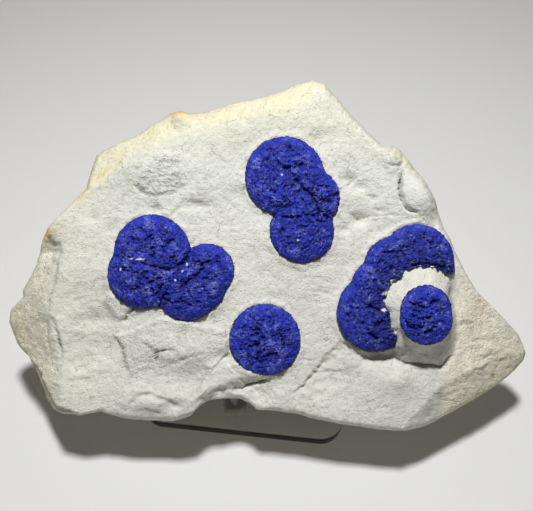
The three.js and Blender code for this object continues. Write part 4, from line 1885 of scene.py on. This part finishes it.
@dataclass
class Stand:
    """The clear stand: a plate with rounded corners and three round pegs.

    Each peg has the name of its solid and how far it goes on past the solid's top, to meet the worn slab.
    """

    width: float = 80.0
    depth: float = 80.0
    thickness: float = 4.8
    corner: float = 9.0
    edge: float = 0.5
    turn: float = math.radians(-6.7)
    peg_radius: float = 4.7
    peg_edge: float = 0.6
    peg_sides: int = 72
    corner_steps: int = 18
    edge_steps: int = 4
    peg_gap: float = 0.02
    pegs: tuple[tuple[str, float], ...] = (
        ("front_peg", 0.8), ("rear_left_peg", 0.85), ("rear_right_peg", 0.4),
    )

    def plate_ring(self, inset: float, z: float) -> Array:
        """One ring round the plate.

        Args:
            inset: How far in from the plate's outer edge.
            z: Height, in millimetres.

        Returns:
            Points of the ring, in millimetres.
        """
        x, y = self.width / 2.0 - self.corner, self.depth / 2.0 - self.corner
        radius = self.corner - inset
        ring = []
        for cx, cy, start in ((x, -y, -90.0), (x, y, 0.0), (-x, y, 90.0), (-x, -y, 180.0)):
            for step in range(self.corner_steps + 1):
                angle = math.radians(start + 90.0 * step / self.corner_steps)
                ring.append((cx + radius * math.cos(angle), cy + radius * math.sin(angle), z))
        return np.array(ring)

    def wall(self, radius: float, low: float, high: float) -> list[Point]:
        """Insets and heights of a wall with both edges eased.

        Args:
            radius: Radius of the eased edges.
            low: Foot of the wall.
            high: Top of the wall.

        Returns:
            Pairs of inset and height, from the foot up.
        """
        steps = [math.pi / 2.0 * k / self.edge_steps for k in range(self.edge_steps + 1)]
        foot = [(radius * (1.0 - math.sin(a)), low + radius * (1.0 - math.cos(a))) for a in steps]
        top = [(radius * (1.0 - math.cos(a)), high - radius * (1.0 - math.sin(a))) for a in steps]
        return foot + top

    def stacked(self, name: str, rings: list[Array]) -> Piece:
        """A closed piece of stacked rings.

        Args:
            name: Name of the piece.
            rings: Rings of points, from the foot up, in metres.

        Returns:
            The piece.
        """
        count = len(rings[0])
        faces: list[list[int]] = [list(range(count))[::-1]]
        for k in range(len(rings) - 1):
            for i in range(count):
                j = (i + 1) % count
                faces.append([k * count + i, k * count + j, (k + 1) * count + j, (k + 1) * count + i])
        faces.append([(len(rings) - 1) * count + i for i in range(count)])
        return add_piece(name, np.concatenate(rings), faces, [len(face) == 4 for face in faces])

    def build_plate(self, finish: Acrylic) -> Piece:
        """Makes and dresses the plate.

        Args:
            finish: The acrylic.

        Returns:
            The piece.
        """
        low, high = (np.array(corner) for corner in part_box("stand_base"))
        middle = np.array([*((low + high) / 2.0)[:2], 0.0])
        c, s = math.cos(self.turn), math.sin(self.turn)
        turn = np.array([[c, -s, 0.0], [s, c, 0.0], [0.0, 0.0, 1.0]])
        rings = [self.plate_ring(inset, z) for inset, z in self.wall(self.edge, 0.0, self.thickness)]
        piece = self.stacked("clear_plate", [middle + MM * ring @ turn.T for ring in rings])
        return dress(piece, "stand_base", finish)

    def build_peg(self, node: str, reach: float, finish: Acrylic) -> Piece:
        """Makes and dresses one peg.

        Args:
            node: The peg's solid.
            reach: How far it goes on past the solid's top, to meet the worn underside of the slab.
            finish: The acrylic.

        Returns:
            The piece.
        """
        low, high = (np.array(corner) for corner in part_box(node))
        middle = (low + high) / 2.0
        turns = np.linspace(0.0, FULL_TURN, self.peg_sides, endpoint=False)
        rings = []
        for inset, z in self.wall(self.peg_edge, self.thickness + self.peg_gap, high[2] / MM + reach):
            radius = MM * (self.peg_radius - inset)
            level = np.full_like(turns, MM * z)
            ring = np.stack([np.cos(turns) * radius, np.sin(turns) * radius, level], -1)
            rings.append(ring + np.array([middle[0], middle[1], 0.0]))
        return dress(self.stacked("clear_" + node, rings), node, finish)


@dataclass(frozen=True)
class Studio:
    """The pale floor, the overhead light, the fill and the camera."""

    camera_distance: float = 0.262
    camera_above: float = math.radians(50.0)
    lens: float = 49.45
    sensor: float = 36.0
    nearest: float = 0.01
    floor_size: float = 3.0
    floor_gap: float = 0.0003
    floor_colour: Colour = (0.71, 0.71, 0.70, 1.0)
    floor_roughness: float = 0.8
    key_from_face: tuple[float, float, float] = (-0.01, 0.0, 0.5)
    key_size: float = 0.055
    key_power: float = 3.05
    fill: float = 0.13
    fill_colour: Colour = (1.0, 0.95, 0.86, 1.0)

    def build(self, face: FaceFrame) -> None:
        """Makes the floor, the lights and the camera.

        Args:
            face: Where the slab's face lies.
        """
        scene = bpy.context.scene
        scene.view_settings.view_transform = "Standard"
        half = self.floor_size / 2.0
        corners = ((-half, -half), (half, -half), (half, half), (-half, half))
        points = np.array([(x, y, -self.floor_gap) for x, y in corners])
        floor = add_piece("floor", points, [[0, 1, 2, 3]], [False])
        material, _, shader = new_finish("pale_floor")
        shader.inputs["Base Color"].default_value = self.floor_colour
        shader.inputs["Roughness"].default_value = self.floor_roughness
        floor.data.materials.append(material)

        light = bpy.data.lights.new("overhead", "AREA")
        light.energy, light.size = self.key_power, self.key_size
        lamp = bpy.data.objects.new("overhead", light)
        middle = face.origin()
        lamp.location = middle + np.array(self.key_from_face)
        scene.collection.objects.link(lamp)

        world = bpy.data.worlds.new("soft_room")
        world.use_nodes = True
        backdrop = world.node_tree.nodes["Background"]
        backdrop.inputs["Color"].default_value = self.fill_colour
        backdrop.inputs["Strength"].default_value = self.fill
        scene.world = world

        lens = bpy.data.cameras.new("camera")
        lens.lens, lens.clip_start = self.lens, self.nearest
        lens.sensor_width, lens.sensor_fit = self.sensor, "HORIZONTAL"
        camera = bpy.data.objects.new("camera", lens)
        back = np.array([0.0, -math.cos(self.camera_above), math.sin(self.camera_above)])
        camera.location = middle + self.camera_distance * back
        camera.rotation_euler = (math.pi / 2.0 - self.camera_above, 0.0, 0.0)
        scene.collection.objects.link(camera)
        scene.camera = camera


SUNS: tuple[Sun, ...] = (
    Sun(
        "upper_sun",
        Lobes(((6.5, 28.3, 14.3), (13, 24.8, 9.6), (16.3, 20.8, 10), (17.3, 13.5, 6.4), (12.6, 8.9, 11.6))),
        5.2, 0.3, 1,
        creases=(
            ((-1, 34), (3.5, 33), (6.5, 31), (9.5, 31), (13.5, 32.5)),
            ((8, 29.5), (10, 27), (13, 23.5), (16, 21.5), (17.5, 18), (19, 15)),
            ((19, 20), (22, 18.5)),
            ((22.5, 21), (26, 22)),
            ((1, 13), (4, 14.2), (7.5, 13.4), (11, 13.2), (14, 14.6), (17, 14), (19.3, 15.2), (21.5, 13.4),
             (23.9, 12)),
        ),
        flecks=((5.5, 28.5, 0.6, 0.35), (11, 5.5, 0.5, 0.35)),
    ),
    Sun(
        "left_sun",
        Lobes((
            (-40.9, 0.9, 13.8), (-44.5, -1.5, 10.6), (-44.2, -6.4, 12.6), (-37, -9, 9.8),
            (-21.2, -5.4, 9.8), (-23.5, -10.5, 9.5), (-28.3, -12.2, 11.2),
        )),
        5.4, 0.4, 2,
        creases=(
            ((-40.5, -3.5), (-37.5, -4.5), (-34, -5), (-31.5, -4), (-29, -2), (-26.5, 2)),
            ((-43, 5), (-40.5, 7)),
            ((-35, 4), (-33.5, 5.5)),
            ((-40, 2.5), (-40, -0.5)),
            ((-43, -7.5), (-41.5, -9.5), (-38.5, -9), (-37, -7.5)),
            ((-40, -14.5), (-37.5, -12.5), (-36.5, -10.5)),
            ((-30, -11.5), (-27.5, -9), (-25.5, -7.5), (-22.5, -5)),
            ((-23, -3), (-20.5, -2.2)),
            ((-36.5, -15), (-33.5, -16.8), (-30, -16.2), (-26.5, -17.4)),
            ((-38.5, -19), (-37, -16), (-36.5, -14.5)),
        ),
        flecks=(
            (-44.5, -1.3, 2.0, 0.34), (-47.6, -1.1, 0.7, 0.3), (-28, -3, 0.45, 0.7),
            (-29.5, -5.5, 0.55, 0.4), (-32, -8.5, 0.4, 0.6), (-51.5, -5, 0.3, 0.7),
        ),
    ),
    Sun(
        "round_sun", Lobes(((-0.6, -30, 12.8),)), 5.2, 0.3, 3,
        creases=(
            ((-5, -28), (-2.5, -27.5), (-1, -29.5)),
            ((-6, -32), (-3, -31.5)),
            ((-3.5, -37), (-2.5, -34.5), (-1, -33.5)),
            ((-0.5, -35.5), (3, -34.5)),
        ),
    ),
    BrokenSun(
        "broken_sun",
        Lobes((
            (53.8, -1.8, 13.2), (62.1, -4.6, 5.2), (45.2, -3.6, 10.3), (41, -12, 11.2), (38.8, -20.4, 13.9),
        )),
        6.0, 1.25, 4,
        creases=(
            ((47.5, 1.5), (49, -1.5), (51, -3)),
            ((51.5, -3.5), (57, -3), (61.5, -4), (66.5, -4.5)),
            ((44, -4.5), (46, -6), (47.5, -7), (49, -6)),
            ((36.5, -25), (39.5, -24), (41, -23)),
            ((32.5, -23), (34, -23.5)),
            ((36.5, -27.5), (38.5, -29)),
            ((36, -18), (39.5, -19.5)),
            ((42, 1), (46, 1)),
        ),
        flecks=(
            (41.0, -19.0, 0.9, 0.8), (44.4, -9.6, 0.9, 1.5), (45.2, -26.2, 1.1, 1.6),
            (42.0, -13.2, 1.5, 0.8), (41.3, -15.8, 0.6, 0.5),
        ),
    ),
    Sun(
        "boss_sun", Boss().sun, 4.9, 0.3, 5, seat=Boss().height - 0.4, cells=140, roll=3.8,
        creases=(
            ((49, -16), (51.5, -17), (53.5, -18), (55.5, -17), (57.5, -15.5)),
            ((50, -21), (52.5, -21.5), (55.5, -21)),
            ((47, -22), (49, -24.5), (51, -25), (53, -24.5)),
            ((54, -26.5), (56, -25.5)),
        ),
    ),
)


def main() -> None:
    """Builds the specimen, its stand and the studio."""
    logging.basicConfig(level=logging.INFO, format="%(message)s")
    face, stand = FaceFrame(), Stand()
    slab = Slab(suns=tuple(sun.lobes for sun in SUNS if sun.seat is None))
    Studio().build(face)
    pieces = [slab.build(face, Claystone())]
    pieces += [sun.build(slab, face, Azurite()) for sun in SUNS]
    pieces.append(stand.build_plate(Acrylic()))
    pieces += [stand.build_peg(node, reach, Acrylic()) for node, reach in stand.pegs]
    for piece in pieces:
        LOG.info("%s: %d faces", piece.name, len(piece.data.polygons))


if __name__ == "__main__":
    main()
